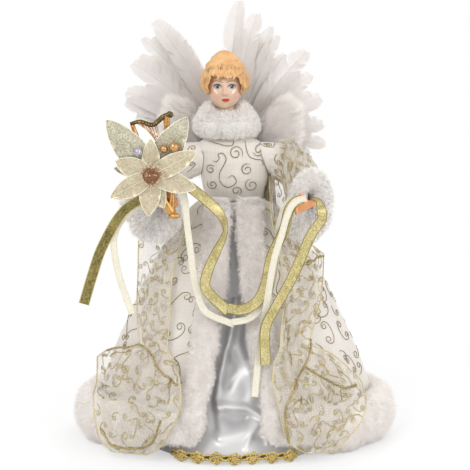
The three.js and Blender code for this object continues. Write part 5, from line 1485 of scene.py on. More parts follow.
def face_paint(p, narrow):
    """Colours painted on the face, with painted shade at the nostrils, beside the nose and under the lip and
    a painted highlight in each eye, from each point's place in shares of the head.
    """
    x = p[:, 0] * narrow
    z = p[:, 2]
    colour = np.tile(np.array([0.71, 0.50, 0.36]), (len(p), 1))
    front = (p[:, 1] < 0)[:, None]

    def put(amount, tint):
        nonlocal colour
        a = np.clip(amount, 0, 1)[:, None] * front
        colour = colour * (1 - a) + np.array(tint) * a

    def spot(at_x, at_z, wide, tall):
        return np.exp(-(((x - at_x) / wide) ** 2) - ((z - at_z) / tall) ** 2)

    def stroke(start, end, wide):
        """How far each point lies inside a stroke between two places, thinner at its ends."""
        start, end = np.array(start), np.array(end)
        way = end - start
        t = np.clip(((x - start[0]) * way[0] + (z - start[1]) * way[1]) / (way @ way), 0, 1)
        off = np.hypot((x - start[0] - t * way[0]), (z - start[1] - t * way[1]) * 1.3)
        return smooth((wide * (0.45 + 0.55 * np.sin(math.pi * t)) - off) / 0.05)

    put(0.45 * spot(0, -0.75, 0.5, 0.2), (0.66, 0.50, 0.32))
    for side in (-1, 1):
        put(0.55 * spot(side * 0.6, -0.36, 0.2, 0.14), (0.80, 0.36, 0.30))
        ex = (x - side * 0.4) / 0.195
        ez = (z - 0.01) / 0.11
        put(0.75 * np.exp(-(np.hypot(ex / 1.05, (ez - 0.75) / 0.62) ** 4)), (0.34, 0.36, 0.40))
        lid = 1 - (ex**2 + (ez / 0.72) ** 2)
        put(smooth(lid * 6), (0.40, 0.46, 0.49))
        iris_x, iris_z = ex * 1.75, (ez - 0.05) * 1.15
        iris = np.hypot(iris_x, iris_z)
        put(smooth((1 - iris) * 5), (0.07, 0.10, 0.13))
        put(smooth((0.74 - iris) * 6), (0.015, 0.015, 0.02))
        # Painted highlight: a white dot in each iris.
        put(smooth((0.2 - np.hypot(iris_x + 0.35, iris_z - 0.35)) * 12), (0.9, 0.9, 0.9))
        lash = np.abs(ez - 0.72 * np.sqrt(np.clip(1.25 - ex**2, 0, 2)) + 0.05)
        put(smooth((0.34 - lash) * 6) * (np.abs(ex) < 1.25) * (ez > -0.2), (0.03, 0.02, 0.02))
        low_lash = np.abs(ez + 0.72 * np.sqrt(np.clip(1.1 - ex**2, 0, 2)))
        put(0.5 * smooth((0.14 - low_lash) * 8) * (np.abs(ex) < 1.0) * (ez < 0), (0.20, 0.12, 0.08))
        put(0.75 * stroke((side * 0.62, -0.09), (side * 0.4, -0.27), 0.09), (0.90, 0.86, 0.82))
        bx = (x - side * 0.42) / 0.3
        brow = np.abs(z - 0.245 + 0.06 * bx**2)
        put(0.85 * smooth((0.03 - brow) / 0.02) * (np.abs(bx) < 1.05), (0.32, 0.16, 0.07))
        # Painted shade at the nostrils.
        put(0.55 * spot(side * 0.09, -0.345, 0.045, 0.03), (0.40, 0.20, 0.12))
    # Painted shade beside the nose.
    put(0.35 * spot(-0.13, -0.12, 0.05, 0.16), (0.50, 0.32, 0.20))
    mx = (x - 0.05) / 0.22
    bow = 0.085 * (1 - mx**2) * (1 - 0.35 * np.exp(-((mx / 0.22) ** 2)))
    upper = smooth((bow - (z + 0.53)) / 0.015) * (z > -0.535)
    lower = smooth((0.105 * np.sqrt(np.clip(1 - mx**2, 0, 1)) + (z + 0.53)) / 0.015) * (z <= -0.525)
    put(np.maximum(upper, lower) * (np.abs(mx) < 1), (0.55, 0.035, 0.035))
    parting = np.abs(z + 0.532 + 0.008 * np.cos(mx * 4))
    put(0.7 * smooth((0.012 - parting) / 0.01) * (np.abs(mx) < 0.95), (0.20, 0.01, 0.015))
    # Painted shade under the lower lip.
    put(0.3 * spot(0, -0.66, 0.16, 0.03), (0.46, 0.28, 0.18))
    return colour


def add_paint(piece, colour):
    attribute = piece.data.color_attributes.new("paint", "FLOAT_COLOR", "POINT")
    opaque = np.concatenate([colour, np.ones((len(colour), 1))], 1)
    attribute.data.foreach_set("color", opaque.astype(np.float32).ravel())


def painted_finish(name, roughness):
    finish = Finish(name, Roughness=roughness, Coat_Weight=0.2, Coat_Roughness=0.25)
    paint = finish.add("ShaderNodeAttribute", attribute_name="paint").outputs["Color"]
    mottle = finish.ramp(finish.noise(260, 3), (0.3, (0.93, 0.90, 0.88)), (0.7, (1, 1, 1)))
    finish.colour(finish.blend(paint, mottle, 1.0, "MULTIPLY"))
    finish.rough(finish.between(finish.noise(500, 2), roughness - 0.05, roughness + 0.08))
    finish.surface.inputs["Subsurface Weight"].default_value = 0.1
    finish.surface.inputs["Subsurface Radius"].default_value = (0.0015, 0.0008, 0.0006)
    finish.bump(finish.noise(900, 2), 0.03, 0.4)
    return finish.material


def make_head():
    columns, rows, sides = 320, 240, 64
    points, p, narrow = skull_points(columns, rows)
    faces = grid_quads(rows, columns, False, True)
    paint = painted_finish("painted_face", 0.4)
    head = add_mesh("head_moulded", points, faces, paint, "doll", ["head"])
    add_paint(head, face_paint(p, narrow))
    heights = np.linspace(0, 1, 24)
    spread = (1 - np.sin(heights * math.pi / 2)) ** 1.2
    z = PLATE_BASE + heights * PLATE_TALL
    wide, deep = (
        mix(NECK_HALF, 0.8 * half * share, spread)[:, None]
        for half, share in ((BODY_WIDE, TOP_WIDE_SHARE), (BODY_DEEP, TOP_DEEP_SHARE))
    )
    angle = turns(sides)
    rings = stack(lean_at(z)[:, None] + wide * np.cos(angle), deep * np.sin(angle), z[:, None])
    base = rings[:1] * (1, 1, 0) + (0, 0, BODY_TOP + GAP)
    top = rings[-1:] * (1, 1, 0) + (-HEAD_LEAN - lean_at(z[-1]), 0, SKULL[2])
    rings = np.concatenate([base, rings, top])
    faces = grid_quads(len(rings), sides, False, True)
    add_mesh("shoulder_plate", rings, faces, skin_material, "doll", ["head"])


make_head()

# Hair
HAIR_THICK = 2.8
HAIRLINE_SHARE = 0.3
NAPE_SHARE = 0.35


def hair_shell(p, grow):
    """Points on the moulded hair over directions p from the middle of the head."""
    side = np.abs(p[:, 0]) ** 3 * np.exp(-(p[:, 2] ** 2) * 4) * 1.4
    full = 1 + 0.1 * smooth(p[:, 2] / 0.6) * (1 - smooth((p[:, 2] - 0.85) / 0.15))
    close = 1 - 0.85 * smooth(-p[:, 2] / 0.32) + 0.08 * np.cos(15 * p[:, 2] + 1.0) * np.abs(p[:, 0]) ** 2
    wide = (HEAD_WIDE + (HAIR_THICK + side) * close + grow) * full
    deep = (HEAD_DEEP + (HAIR_THICK + side) * close + grow) * full
    return stack(p[:, 0] * wide, p[:, 1] * deep, p[:, 2] * (HEAD_TALL / 2 + HAIR_THICK + grow))


# Dark strand marks on the fringe: across from and to, up from and to, from the middle of the head
HAIR_MARKS = [
    (1.2, 3.3, 11.2, 7.6), (0.6, 1.6, 9.0, 7.2), (-8.6, -9.4, 9.6, 6.4), (-7.2, -8.4, 10.6, 7.4),
    (-4.4, -5.0, 9.4, 6.6), (-2.4, -2.2, 9.0, 6.2), (5.4, 6.4, 9.2, 6.8), (8.4, 9.6, 9.0, 6.0),
    (4.0, 5.4, 12.6, 9.6), (-0.6, -0.4, 8.2, 5.8),
]
FRINGE_LOCKS = 13


def ridges(phase, power=1):
    """Ridges that rise to 1 where the phase is a whole number of half turns."""
    return 1 - np.abs(np.sin(phase)) ** power


def make_hair():
    soup = Soup()
    half = HEAD_TALL / 2
    columns, rows = 420, 220
    p = unit_ball(columns, rows)
    turn = np.arctan2(p[:, 1], p[:, 0])
    sway = turn + 0.35 * np.sin(3 * p[:, 2] + 2 * turn) + 0.12 * np.sin(9 * p[:, 2] - 3 * turn)
    lock = ridges(7 * sway, 0.7)
    strand = ridges(31 * sway + 3 * p[:, 2])
    rel = hair_shell(p, (1.1 * (0.5 - lock) + 0.5 * (strand - 0.5)) * dome(p[:, 2]) ** 0.6)
    x, y, z = rel.T
    hairline = HAIRLINE_SHARE * half + (1.3 * np.cos(x * 0.95 + 0.4) + 0.8 * np.cos(x * 2.1)) * 0.6 + 1.7
    face_wide = 0.89 * HEAD_WIDE + 0.5 * np.cos(z * 0.9)
    inside = (np.abs(x) < face_wide * dome(np.clip((z - hairline + 4) / 5.5, 0, 1)) ** 0.7) & (y < 0)
    drop = (inside & (z < hairline)) | (z < -NAPE_SHARE * half + 0.9 * np.cos(turn * 9))
    sunk = p * (HEAD_WIDE + 0.2, HEAD_DEEP + 0.2, half + 0.2)
    behind = stack(x, -HEAD_DEEP * dome(np.minimum(1, np.hypot(x / HEAD_WIDE, z / half))) + 1.2, z)
    sunk = np.where((inside & (z > -NAPE_SHARE * half))[:, None], behind, sunk)
    points = np.where(drop[:, None], sunk, rel) + SKULL
    faces = grid_quads(rows, columns, False, True)
    # Painted shade and light: darker in the grooves between the locks, lighter on the raised strands.
    value = 0.42 + 0.62 * (strand - 0.45) - 0.34 * lock + 0.12 * wave_noise(points, 7, 9)
    soup.add(points, faces[~(drop[faces].all(1))], np.clip(value, 0, 1))
    bun, faces = ball((0, 0, 0), (1, 1, 1), 200, 110)
    swirl = np.arctan2(bun[:, 1], bun[:, 0])
    coil = ridges(1.5 * swirl + 5 * bun[:, 2])
    fine = ridges(9 * swirl + 16 * bun[:, 2])
    ridge = 1 + (0.07 * (coil - 0.5) + 0.03 * (fine - 0.5)) * dome(bun[:, 2])
    narrow = stack(1 - 0.2 * np.maximum(0, bun[:, 2]), 1, 1)
    bun = bun * ridge[:, None] * (10.4, 8.9, 7.5) * narrow + SKULL + (0, 0, half + 0.2)
    # Painted shade and light: darker in the grooves of the bun's coils, lighter on their ridges.
    soup.add(bun, faces, 0.35 + 0.4 * fine + 0.2 * coil)
    crown, faces = ball((0, 0, 0), (1, 1, 1), 160, 60)
    combed = ridges(14 * np.arctan2(crown[:, 1], crown[:, 0]) + 3 * crown[:, 2])
    ridge = 1 + 0.035 * (combed - 0.5) * dome(crown[:, 2])
    crown = crown * ridge[:, None] * (13.3, 12.0, 6.4) + SKULL + (0, 0, half - 3.6)
    # Painted light: lighter on the combed ridges of the crown.
    soup.add(crown, faces, 0.4 + 0.35 * combed)
    for i in range(FRINGE_LOCKS):
        t = np.linspace(0, 1, 16)
        x = mix(-0.8, 0.8, i / (FRINGE_LOCKS - 1)) * HEAD_WIDE
        x = x + 1.4 * (0.35 * math.sin(i * 2.3)) * np.sin(t * 3) + 0.5 * np.sin(t * 7 + i)
        z = HAIRLINE_SHARE * half + 6.6 - t * (4.6 + 1.7 * math.cos(i * 1.9))
        bend = dome(np.clip(x / (HEAD_WIDE + HAIR_THICK + 0.6), -1, 1))
        bend = bend * dome(np.clip(z / (half + HAIR_THICK), -1, 1)) ** 0.9
        path = stack(x, -(HEAD_DEEP + HAIR_THICK - 0.1) * bend - 0.5, z) + SKULL
        radius = 1.15 * np.sin(np.clip(mix(0.25, 1, t) * math.pi * 0.95, 0, math.pi)) ** 0.6 + 0.05
        soup.add(*tube(path, radius, 10), 0.3 + 0.5 * (i % 3) / 2)
    for x0, x1, z0, z1 in HAIR_MARKS:
        t = np.linspace(0, 1, 12)
        x, z = mix(x0, x1, t) + 0.4 * np.sin(t * 5), mix(z0, z1, t)
        bend = dome(np.hypot(x / (HEAD_WIDE + HAIR_THICK + 1), z / (half + HAIR_THICK + 1)))
        path = stack(x, -(HEAD_DEEP + HAIR_THICK + 0.55) * bend, z) + SKULL
        soup.add(*tube(path, 0.3 * np.sin(np.clip(mix(0.15, 0.9, t), 0, 1) * math.pi) + 0.05), 0.0)
    soup.piece("hair_moulded", hair_material, "doll", ["hair"], "hair")


make_hair()


# Hands, and along each palm: half width and half depth in shares
PALM_SHARES = [[-0.5, 0.6, 0.8], [0, 0.62, 0.85], [0.35, 0.85, 1], [0.75, 1, 1], [1, 0.9, 0.75]]
PALM_LONG = 10
PALM_HALF = 4
PALM_DEEP = 2.7
FINGER_LONG = 8
FINGER_HALF = 1.25


def make_hand(name, arm):
    wrist = np.array(arm["wrist"], float)
    forward = unit(arm["points_to"])
    side = unit(UP - forward * (UP @ forward))
    up = np.cross(forward, side)

    def at(f, s, u=0.0):
        return wrist + forward * f + side * s + up * u

    share = np.linspace(-0.5, 1, 20)
    wide = read_table(PALM_SHARES, share, 1) * PALM_HALF
    deep = read_table(PALM_SHARES, share, 2) * PALM_DEEP
    centre = wrist + forward * (share * PALM_LONG)[:, None]
    rings = rings_round(centre, side, up, wide, deep, 20)
    parts = [capped(rings, rings[0].mean(0), rings[-1].mean(0))]
    for i, share in enumerate((0.92, 1, 0.96, 0.8)):
        s = mix(1, -1, i / 3) * (PALM_HALF - FINGER_HALF)
        reach = FINGER_LONG * share
        root = 8.5
        ways = [at(root - 2, s * 0.8), at(root, s), at(root + reach / 2, s * 1.05, -reach / 10)]
        ways += [at(root + reach * 0.85, s * 1.05, -reach * 0.4), at(root + reach * 0.8, s, -reach * 0.75)]
        path = spline(ways, 6)
        swell = 1 + 0.06 * np.cos(np.linspace(0, 3 * TURN, len(path)))
        parts.append(tube(path, FINGER_HALF * np.linspace(1, 0.78, len(path)) * swell, 12))
    thumb_root = at(3, 1.6)
    thumb_tip = at(3 + FINGER_LONG * 0.55, 1.6 + FINGER_LONG * 0.8)
    path = spline([thumb_root, (thumb_root + thumb_tip) / 2 + side * 1.25, thumb_tip], 8)
    parts.append(tube(path, FINGER_HALF * np.linspace(1.25, 0.85, len(path)), 12))
    points, faces = fused(parts, 0.3, 3)
    body, node = name + "_arm", "hand_" + name
    add_mesh("hand_moulded_" + name, points, faces, hand_material, body, [node])


for arm_name, arm_sizes in ARMS.items():
    make_hand(arm_name, arm_sizes)


# Harp: places across and up, in shares of its size
GRIP = np.array(ARMS["right"]["wrist"]) + (9.5, -14.5, -5.8)
HARP_WIDE = 27
HARP_TALL = 62
HARP_NECK = [(-1, 0.97), (-0.76, 0.995), (-0.46, 0.962), (-0.2, 1.045), (-0.04, 1.07)]
HARP_BOX = [(0, 0.02), (-0.24, 0.2), (-0.48, 0.444), (-0.74, 0.72), (-0.95, 0.96)]
HARP_STRINGS = 9
HARP_PINS = 8


def harp_at(x, z):
    return GRIP + np.array([x * HARP_WIDE, 0.0, z * HARP_TALL])


def make_harp():
    gilded, dark = Soup(), Soup()
    neck = spline([harp_at(*p) for p in HARP_NECK], 12)
    dark.add(*tube(neck, 1.5 * np.linspace(0.8, 1.25, len(neck)), 16))
    box_path = spline([harp_at(*p) for p in HARP_BOX], 10)
    gilded.add(*tube(box_path, np.linspace(2.9, 1.4, len(box_path)), 18))
    foot = harp_at(0, 0)
    rise = harp_at(-0.12, 1.05) - foot
    for lobe in range(4):
        t = np.linspace(0, 1, 120)
        angle = TURN * (lobe / 4 + 5 / 4 * t)
        path = foot + rise * t[:, None] + stack(np.cos(angle), np.sin(angle), 0) * 1.2
        gilded.add(*tube(path, 1.15, 8))
    for i in range(HARP_STRINGS):
        share = (i + 1) / (HARP_STRINGS + 1)
        a = neck[int(mix(0.1, 0.66, share) * (len(neck) - 1))]
        b = foot + rise * mix(0.78, 0.2, share)
        gilded.add(*tube(np.array([a, (a + b) / 2, b]), 0.28))
        gilded.add(*ball(a + (0, -1.5, 0), (0.6, 0.6, 0.6), 8, 6))
    dark.add(*ball(harp_at(-0.04, 1.07), (2.3, 2.0, 2.3), 28, 18))
    gilded.add(*ball(harp_at(0.05, -0.01), (4, 2.6, 2), 28, 18))
    for i in range(HARP_PINS):
        at = neck[int(len(neck) * (i + 0.6) / 8.5)]
        dark.add(*ball(at + (0, -1.3, 0.3), (0.7, 0.5, 0.7), 10, 8))
    gilded.piece("harp_gilded", harp_material, "right_arm", ["harp"], "harpGold")
    dark.piece("harp_neck_dark", harp_neck_material, "right_arm", ["harp"], "harpGold")


make_harp()


# Flower: the angle of each petal and leaf, its length and half width in reaches
FLOWER = GRIP + np.array([-13, -10.1, 27.5])
REACH = 33
PETAL_SHARES = [
    [209, 0.921, 0.188], [158, 0.758, 0.194], [91, 0.712, 0.158], [28, 1, 0.188],
    [-17, 0.909, 0.194], [265, 0.806, 0.194], [290, 0.697, 0.139],
]
LEAF_SHARES = [[129, 1.394, 0.273], [58, 1.333, 0.258], [171, 0.758, 0.121]]
LEVEL_STEP = 1.1
GOLDEN_TURN = 2.39996


def blade_grid(angle, length, half, back, seed):
    """A petal or leaf: cupped, ruffled at its edges and ribbed in its middle."""
    out = np.array([math.cos(math.radians(angle)), 0, math.sin(math.radians(angle))])
    side = np.array([-out[2], 0, out[0]])
    share = np.linspace(0, 1, 60)[:, None]
    s = np.linspace(-1, 1, 25)[None]
    width = half * np.maximum(0.03, np.sin(math.pi * mix(0.12, 1, share) ** 0.95) ** 0.7) * 1.08
    lift = 0.2 * width * s**2 * share + 0.7 * np.sin(share * 16 + seed) * np.abs(s) ** 3
    rib = -0.35 * np.exp(-((s / 0.12) ** 2))
    away = (back - lift + rib * 0.6)[..., None]
    return FLOWER + out * mix(1.6, length, share)[..., None] + side * (s * width)[..., None] + BACK * away


def make_blade(name, node, shares, back, material, slot, seed, veins):
    angle, length, half = shares
    rows = blade_grid(angle, length * REACH, half * REACH, back, seed)
    soup = Soup()
    count, width = rows.shape[:2]
    quads = grid_quads(count, width)
    tone = np.repeat(mix(0.08, 0.6, smooth(np.linspace(0, 1.9, count))), width)
    tone = np.clip(tone + 0.1 * wave_noise(rows.reshape(-1, 3), 5, seed), 0, 0.75)
    soup.add(rows, quads, tone)
    soup.add(rows + BACK * 0.24, quads[:, ::-1], tone)
    soup.add(*tube(np.concatenate([rows[:, 0], rows[::-1, -1]]), 0.28), 1.0)
    soup.add(*tube(rows[:, width // 2] - BACK * 0.15, np.linspace(0.45, 0.12, count)), 0.9)
    for k in range(veins):
        i = int(mix(0.12, 0.8, k / veins) * count)
        c = np.arange(0, width // 2, 2)
        for direction in (-1, 1):
            path = rows[np.minimum(count - 1, i + (c * 1.1).astype(int)), width // 2 + direction * c]
            soup.add(*tube(path - BACK * 0.1, 0.12, 4), 0.8)
    soup.piece(name, material, "right_arm", [node], slot)


for i, shares in enumerate(PETAL_SHARES):
    level = (3 if i == 6 else i % 3) * LEVEL_STEP
    make_blade(f"petal_cloth_{i + 1}", f"petal_{i + 1}", shares, level, petal_material, "petal", i, 9)
for i, shares in enumerate(LEAF_SHARES):
    level = (4 + i) * LEVEL_STEP
    make_blade(f"leaf_cloth_{i + 1}", f"leaf_{i + 1}", shares, level, leaf_material, "leaf", 10 + i, 12)


def make_eye():
    soup = Soup()
    centre = FLOWER + (0, -1.5, 0)
    soup.add(*ball(centre, (4.6, 3.2, 4.6), 28, 18), 0.1)
    count = 70
    for i in range(count):
        z = 1 - (i + 0.5) / count
        turn = i * GOLDEN_TURN
        r = 4.9 * math.sqrt(1 - z * z)
        p = centre + np.array([r * math.cos(turn), -3.6 * z, r * math.sin(turn)])
        soup.add(*ball(p, (0.75, 0.75, 0.75), 10, 8), float(rng.uniform(0.3, 1)))
    for i in range(26):
        turn = i * GOLDEN_TURN
        reach = 5.5 + 3.2 * rng.uniform()
        out = np.array([math.cos(turn) * reach, 0, math.sin(turn) * reach])
        ways = np.array([0.3, 0.65, 1.0])[:, None] * out + centre
        ways[:, 1] += np.array([-1.8, -3.2, -3.4 + 1.2 * rng.uniform()])
        soup.add(*tube(spline(ways, 5), 0.22, 5), 0.3)
        soup.add(*ball(ways[-1], (0.6, 0.6, 0.6), 8, 6), 1.0)
    soup.add(*tube(FLOWER + np.array([-0.3, 3, 7.2])[:, None] * BACK, 1.0, 10), 0.2)
    soup.piece("flower_beads", eye_bead_material, "right_arm", ["flower_eye"], "flowerEye")


make_eye()

# Berries: radius in the largest one's, place across and up in reaches, and the leaf that each lies on
for name, (share, right, up, leaf) in {
    "gold_berry_large": (1, 0.45, 0.56, 1),
    "gold_berry_small": (0.76, 0.248, 0.52, 1),
    "pearl_berry": (0.86, -0.26, 0.467, 0),
}.items():
    radius = 3.5 * share
    front = (4 + leaf) * LEVEL_STEP - 0.4 - 0.6
    centre = FLOWER + np.array([right * REACH, front - radius, up * REACH])
    soup = Soup()
    soup.add(*ball(centre, (radius, radius, radius), 48, 30))
    soup.add(*ball(centre + (0, 0, -radius), (0.7, 0.7, 0.5), 12, 8))
    material, slot = (gold_berry_material, "goldBerry") if leaf else (pearl_material, "pearl")
    soup.piece(name + "_ball", material, "right_arm", [name], slot)


# Wings
CARD_BACK = BODY_DEEP + GAP + WALL + GAP + 1.4
SHORT_HUB = CARD_BACK + GAP
FEATHER_STEP = 1.2
HUB_DEEP = 3 * FEATHER_STEP
LONG_HUB = SHORT_HUB + HUB_DEEP + GAP
QUILLS = SHOULDER + 5
SPAN = 76
RISE = 102
# Feathers of each wing from root to tip: out and up in spans and rises, half width in spans
LONG_SHARES = {
    "right": [
        [0.62, 0.86, 0.085], [0.5, 0.8, 0.07], [0.74, 0.74, 0.03], [0.63, 0.75, 0.04], [0.76, 0.62, 0.06],
    ],
    "left": [
        [-0.02, 1, 0.075], [0.14, 0.91, 0.085], [0.28, 0.82, 0.05], [0.34, 0.76, 0.045], [0.4, 0.63, 0.05],
    ],
}
SHORT_SHARES = {
    "right": [
        [0.83, 0.57, 0.085], [0.89, 0.37, 0.085], [0.9, 0.3, 0.08], [0.8, 0.2, 0.08], [0.68, 0.14, 0.07],
    ],
    "left": [
        [0.61, 0.65, 0.085], [0.65, 0.49, 0.075], [0.74, 0.33, 0.085], [0.77, 0.14, 0.07],
        [0.79, 0, 0.06], [0.64, -0.08, 0.07],
    ],
}
BARBS = 110
FEATHER_SWEEP = 12


def feather(soup, root, tip, half, side, picker):
    """A quill and two vanes of barbs that lie over each other, fluffy near the root, ragged at the end."""
    length = np.linalg.norm(tip - root)
    direction = unit(tip - root)
    sideways = np.array([-direction[2], 0, direction[0]]) * side
    share = np.linspace(0, 1, 40)
    quill = root + direction * (share * length)[:, None]
    quill = quill + sideways * (length * 0.06 * np.sin(math.pi * share))[:, None]
    quill = quill + BACK * (FEATHER_SWEEP * share**2)[:, None]
    soup.add(*tube(quill, np.linspace(0.6, 0.12, 40)), 0.95)
    steps = np.array([0, 0.3, 0.6, 0.85, 1.0])[:, None]
    thick = direction * (1.25 * length / BARBS) * np.array([1, 1, 1, 0.9, 0.3])[:, None]
    for edge in (-1, 1):
        splits = picker.uniform(0.4, 0.95, 3)
        for s in np.linspace(0.1, 0.99, BARBS):
            round_end = 1.0 if s < 0.7 else float(dome((s - 0.7) / 0.31))
            fluff = max(0, 1 - s / 0.35)
            ragged = 0.05 + 0.2 * fluff
            width = half * mix(0.6, 1, float(smooth(s / 0.5))) * max(0.22, round_end)
            width = width * picker.uniform(1 - ragged, 1 + ragged)
            base = np.array([np.interp(s, share, quill[:, k]) for k in range(3)])
            parted = sum(0.45 * math.exp(-(((s - c) / 0.018) ** 2)) for c in splits)
            slant = (0.8 + 0.4 * s) * (1 - 0.7 * float(smooth((s - 0.68) / 0.32))) - parted
            slant = slant + picker.normal() * (0.025 + 0.35 * fluff)
            droop = BACK * (0.12 * edge + picker.normal() * (0.06 + 0.9 * fluff))
            line = base + sideways * edge * width * steps + direction * width * slant * steps**1.4
            line = line + droop * steps
            points = np.stack([line - thick / 2, line + thick / 2], 1)
            # Painted light and shade: each feather is darker towards its root, shade near the body, and one
            # vane is lighter than the other, as if lit from the doll's right; the barb ends are a little
            # darker.
            bright = 0.62 * picker.uniform(0.8, 1.15) + 0.09 * edge * side
            bright = bright * mix(0.3, 1.15, float(smooth((s - 0.1) / 0.6)))
            soup.add(points, grid_quads(5, 2), np.clip(bright - np.repeat([0, 0, 0, 0, 0.15], 2), 0, 1))


def make_wing(name, side, shares, hub_front, node, seed):
    """Feathers of one length from a hub, with a shorter one between each two."""
    picker = np.random.default_rng(seed)
    soup = Soup()
    root_x = lean_at(QUILLS) + side * 7.3
    rows = sorted(shares, key=lambda row: math.atan2(row[1] * RISE, row[0] * SPAN))
    between = [[mix(a[k], b[k], 0.5) * 0.84 for k in (0, 1)] + [0.075] for a, b in zip(rows, rows[1:])]
    for i, (out, up, half) in enumerate(rows + between):
        root = np.array([root_x, hub_front + (i % 3 + 0.5) * FEATHER_STEP, QUILLS])
        tip = root + np.array([side * out * SPAN, 0, up * RISE])
        feather(soup, root, tip, max(half, 0.06) * SPAN * 1.25, side, picker)
    soup.add(*ball((root_x, hub_front + HUB_DEEP / 2, QUILLS), (7, HUB_DEEP / 2, 7), 32, 16), 0.4)
    soup.piece(name, feather_material, "doll", [node], "feather")


FEATHER_KINDS = {"short": (SHORT_SHARES, SHORT_HUB, 101), "long": (LONG_SHARES, LONG_HUB, 105)}
for wing, side in (("right", -1), ("left", 1)):
    for kind, (shares, hub, seed) in FEATHER_KINDS.items():
        node = f"wing_{wing}_{kind}_feathers"
        make_wing(f"feathers_{kind}_{wing}", side, shares[wing], hub, node, seed + side)


def make_down(name, side):
    centre = np.array([lean_at(QUILLS) + side * 30, SHORT_HUB - GAP - 2.6, QUILLS + 5.8])
    points, faces = ball((0, 0, 0), (1, 1, 1), 60, 40)
    lump = 1 + 0.06 * (np.cos(7 * np.arctan2(points[:, 2], points[:, 0])) - 1)
    x, y, z = (points * lump[:, None] * (13.5, 1.4, 27.5)).T
    sine, cosine = math.sin(side * 0.25), math.cos(side * 0.25)
    points = stack(x * cosine + z * sine, y, z * cosine - x * sine) + centre
    fur_piece(
        "down_" + name, points, faces, f"wing_{name}_down", "doll", count=60000, length=11.0,
        flow=(side * 1.1, 0, 0.75), clump=4.5, seed=111 + side, finishes=DOWN_FINISHES,
    )


make_down("right", -1)
make_down("left", 1)


def make_patch():
    """Felt over the wings' card, with rounded edges."""
    low, high = (np.array(v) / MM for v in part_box("wing_patch"))
    x = np.linspace(-1, 1, 60)[None]
    z = np.linspace(-1, 1, 44)[:, None]
    middle = (low + high) / 2
    half = (high - low) / 2
    across = middle[0] + half[0] * x * (1 - 0.06 * z**4)
    up = middle[2] + half[2] * z * (1 - 0.05 * x**4)
    front = stack(across, high[1] - 0.1 - 0.25 * (x**6 + z**6) / 2, up)
    front[..., 1] += wave_noise(front, 8, 5) * 0.12
    quads = grid_quads(z.size, x.size)
    soup = Soup()
    soup.add(front, quads)
    soup.add(front * (1, 0, 1) + (0, low[1] + 0.1, 0), quads[:, ::-1])
    soup.piece("felt_patch", padding_material, "doll", ["wing_patch"], "padding")


make_patch()

# Ribbons: places across and up in shares of the wrist's, how far on edge, for some how far ahead of it
ROUTE_SHARES = {
    "gold_swag_right": [
        [-0.676, 0.262, 0.1], [-0.516, 0.164, 0.1], [-0.307, 0.018, 0.2], [-0.178, -0.039, 0.5],
        [-0.129, -0.092, 0.7], [-0.241, -0.174, 0.3], [-0.356, -0.253, 0.1], [-0.383, -0.317, 0.1],
        [-0.142, -0.395, 0.1],
    ],
    "gold_swag_left": [
        [-0.091, -0.397, 0.1], [0.08, -0.404, 0.15], [0.278, -0.375, 0.15], [0.387, -0.317, 0.15],
        [0.476, -0.202, 0.15], [0.654, -0.08, 0.15], [0.713, -0.01, 0.2], [0.79, 0.045, 0.3],
        [0.89, 0.075, 0.45],
    ],
    "cream_swag_right": [
        [-0.697, 0.213, 0], [-0.647, 0.051, 0.1], [-0.627, -0.057, 0.15], [-0.58, -0.174, 0.15],
        [-0.519, -0.306, 0.1], [-0.392, -0.41, 0.1], [-0.079, -0.456, 0.1],
    ],
    "cream_swag_left": [
        [-0.046, -0.456, 0.1], [0.194, -0.439, 0.1], [0.376, -0.381, 0.1], [0.476, -0.317, 0.1],
        [0.553, -0.161, 0.1], [0.603, -0.051, 0.1], [0.68, 0.02, 0.15], [0.80, 0.08, 0.2],
    ],
    "gold_tail_right": [
        [-1.148, 0.108, 0.2], [-1.432, -0.016, 0.2], [-1.72, -0.155, 0.1], [-1.854, -0.265, 0],
        [-1.973, -0.381, 0],
    ],
    "cream_tail_right": [
        [-0.975, 0.026, 0], [-1.195, 0.005, 0.05], [-1.423, -0.039, 0.1], [-1.569, -0.12, 0.1],
        [-1.527, -0.253, 0.1], [-1.423, -0.357, 0.1], [-1.344, -0.421, 0.1],
    ],
    "gold_tail_left": [
        [1.002, 0.055, 1, 0.15], [1.075, 0.051, 0.8, 0.68], [1.123, -0.008, 0.3], [1.13, -0.045, 0.2],
        [1.009, -0.098, 0.1], [0.751, -0.271, 0.1], [0.506, -0.404, 0.15], [0.405, -0.468, 0.15],
        [0.403, -0.612, 0.1],
    ],
    "cream_tail_left": [
        [0.93, 0.09, 0.2], [0.83, 0.075, 0.1], [0.74, 0.01, 0.1], [0.674, -0.039, 0.1],
        [0.615, -0.103, 0.1], [0.515, -0.202, 0.1], [0.405, -0.398, 0.1], [0.326, -0.549, 0.1],
        [0.257, -0.734, 0],
    ],
}
RIBBON_LAYERS = {
    "cream_swag_right": 0, "cream_swag_left": 0, "cream_tail_right": 0, "gold_swag_right": 1,
    "gold_swag_left": 1, "gold_tail_right": 1, "cream_tail_left": 2, "gold_tail_left": 3,
}
LAYER_STEP = 1.8
GOLD_WIDE = 6.5
CREAM_WIDE = 4


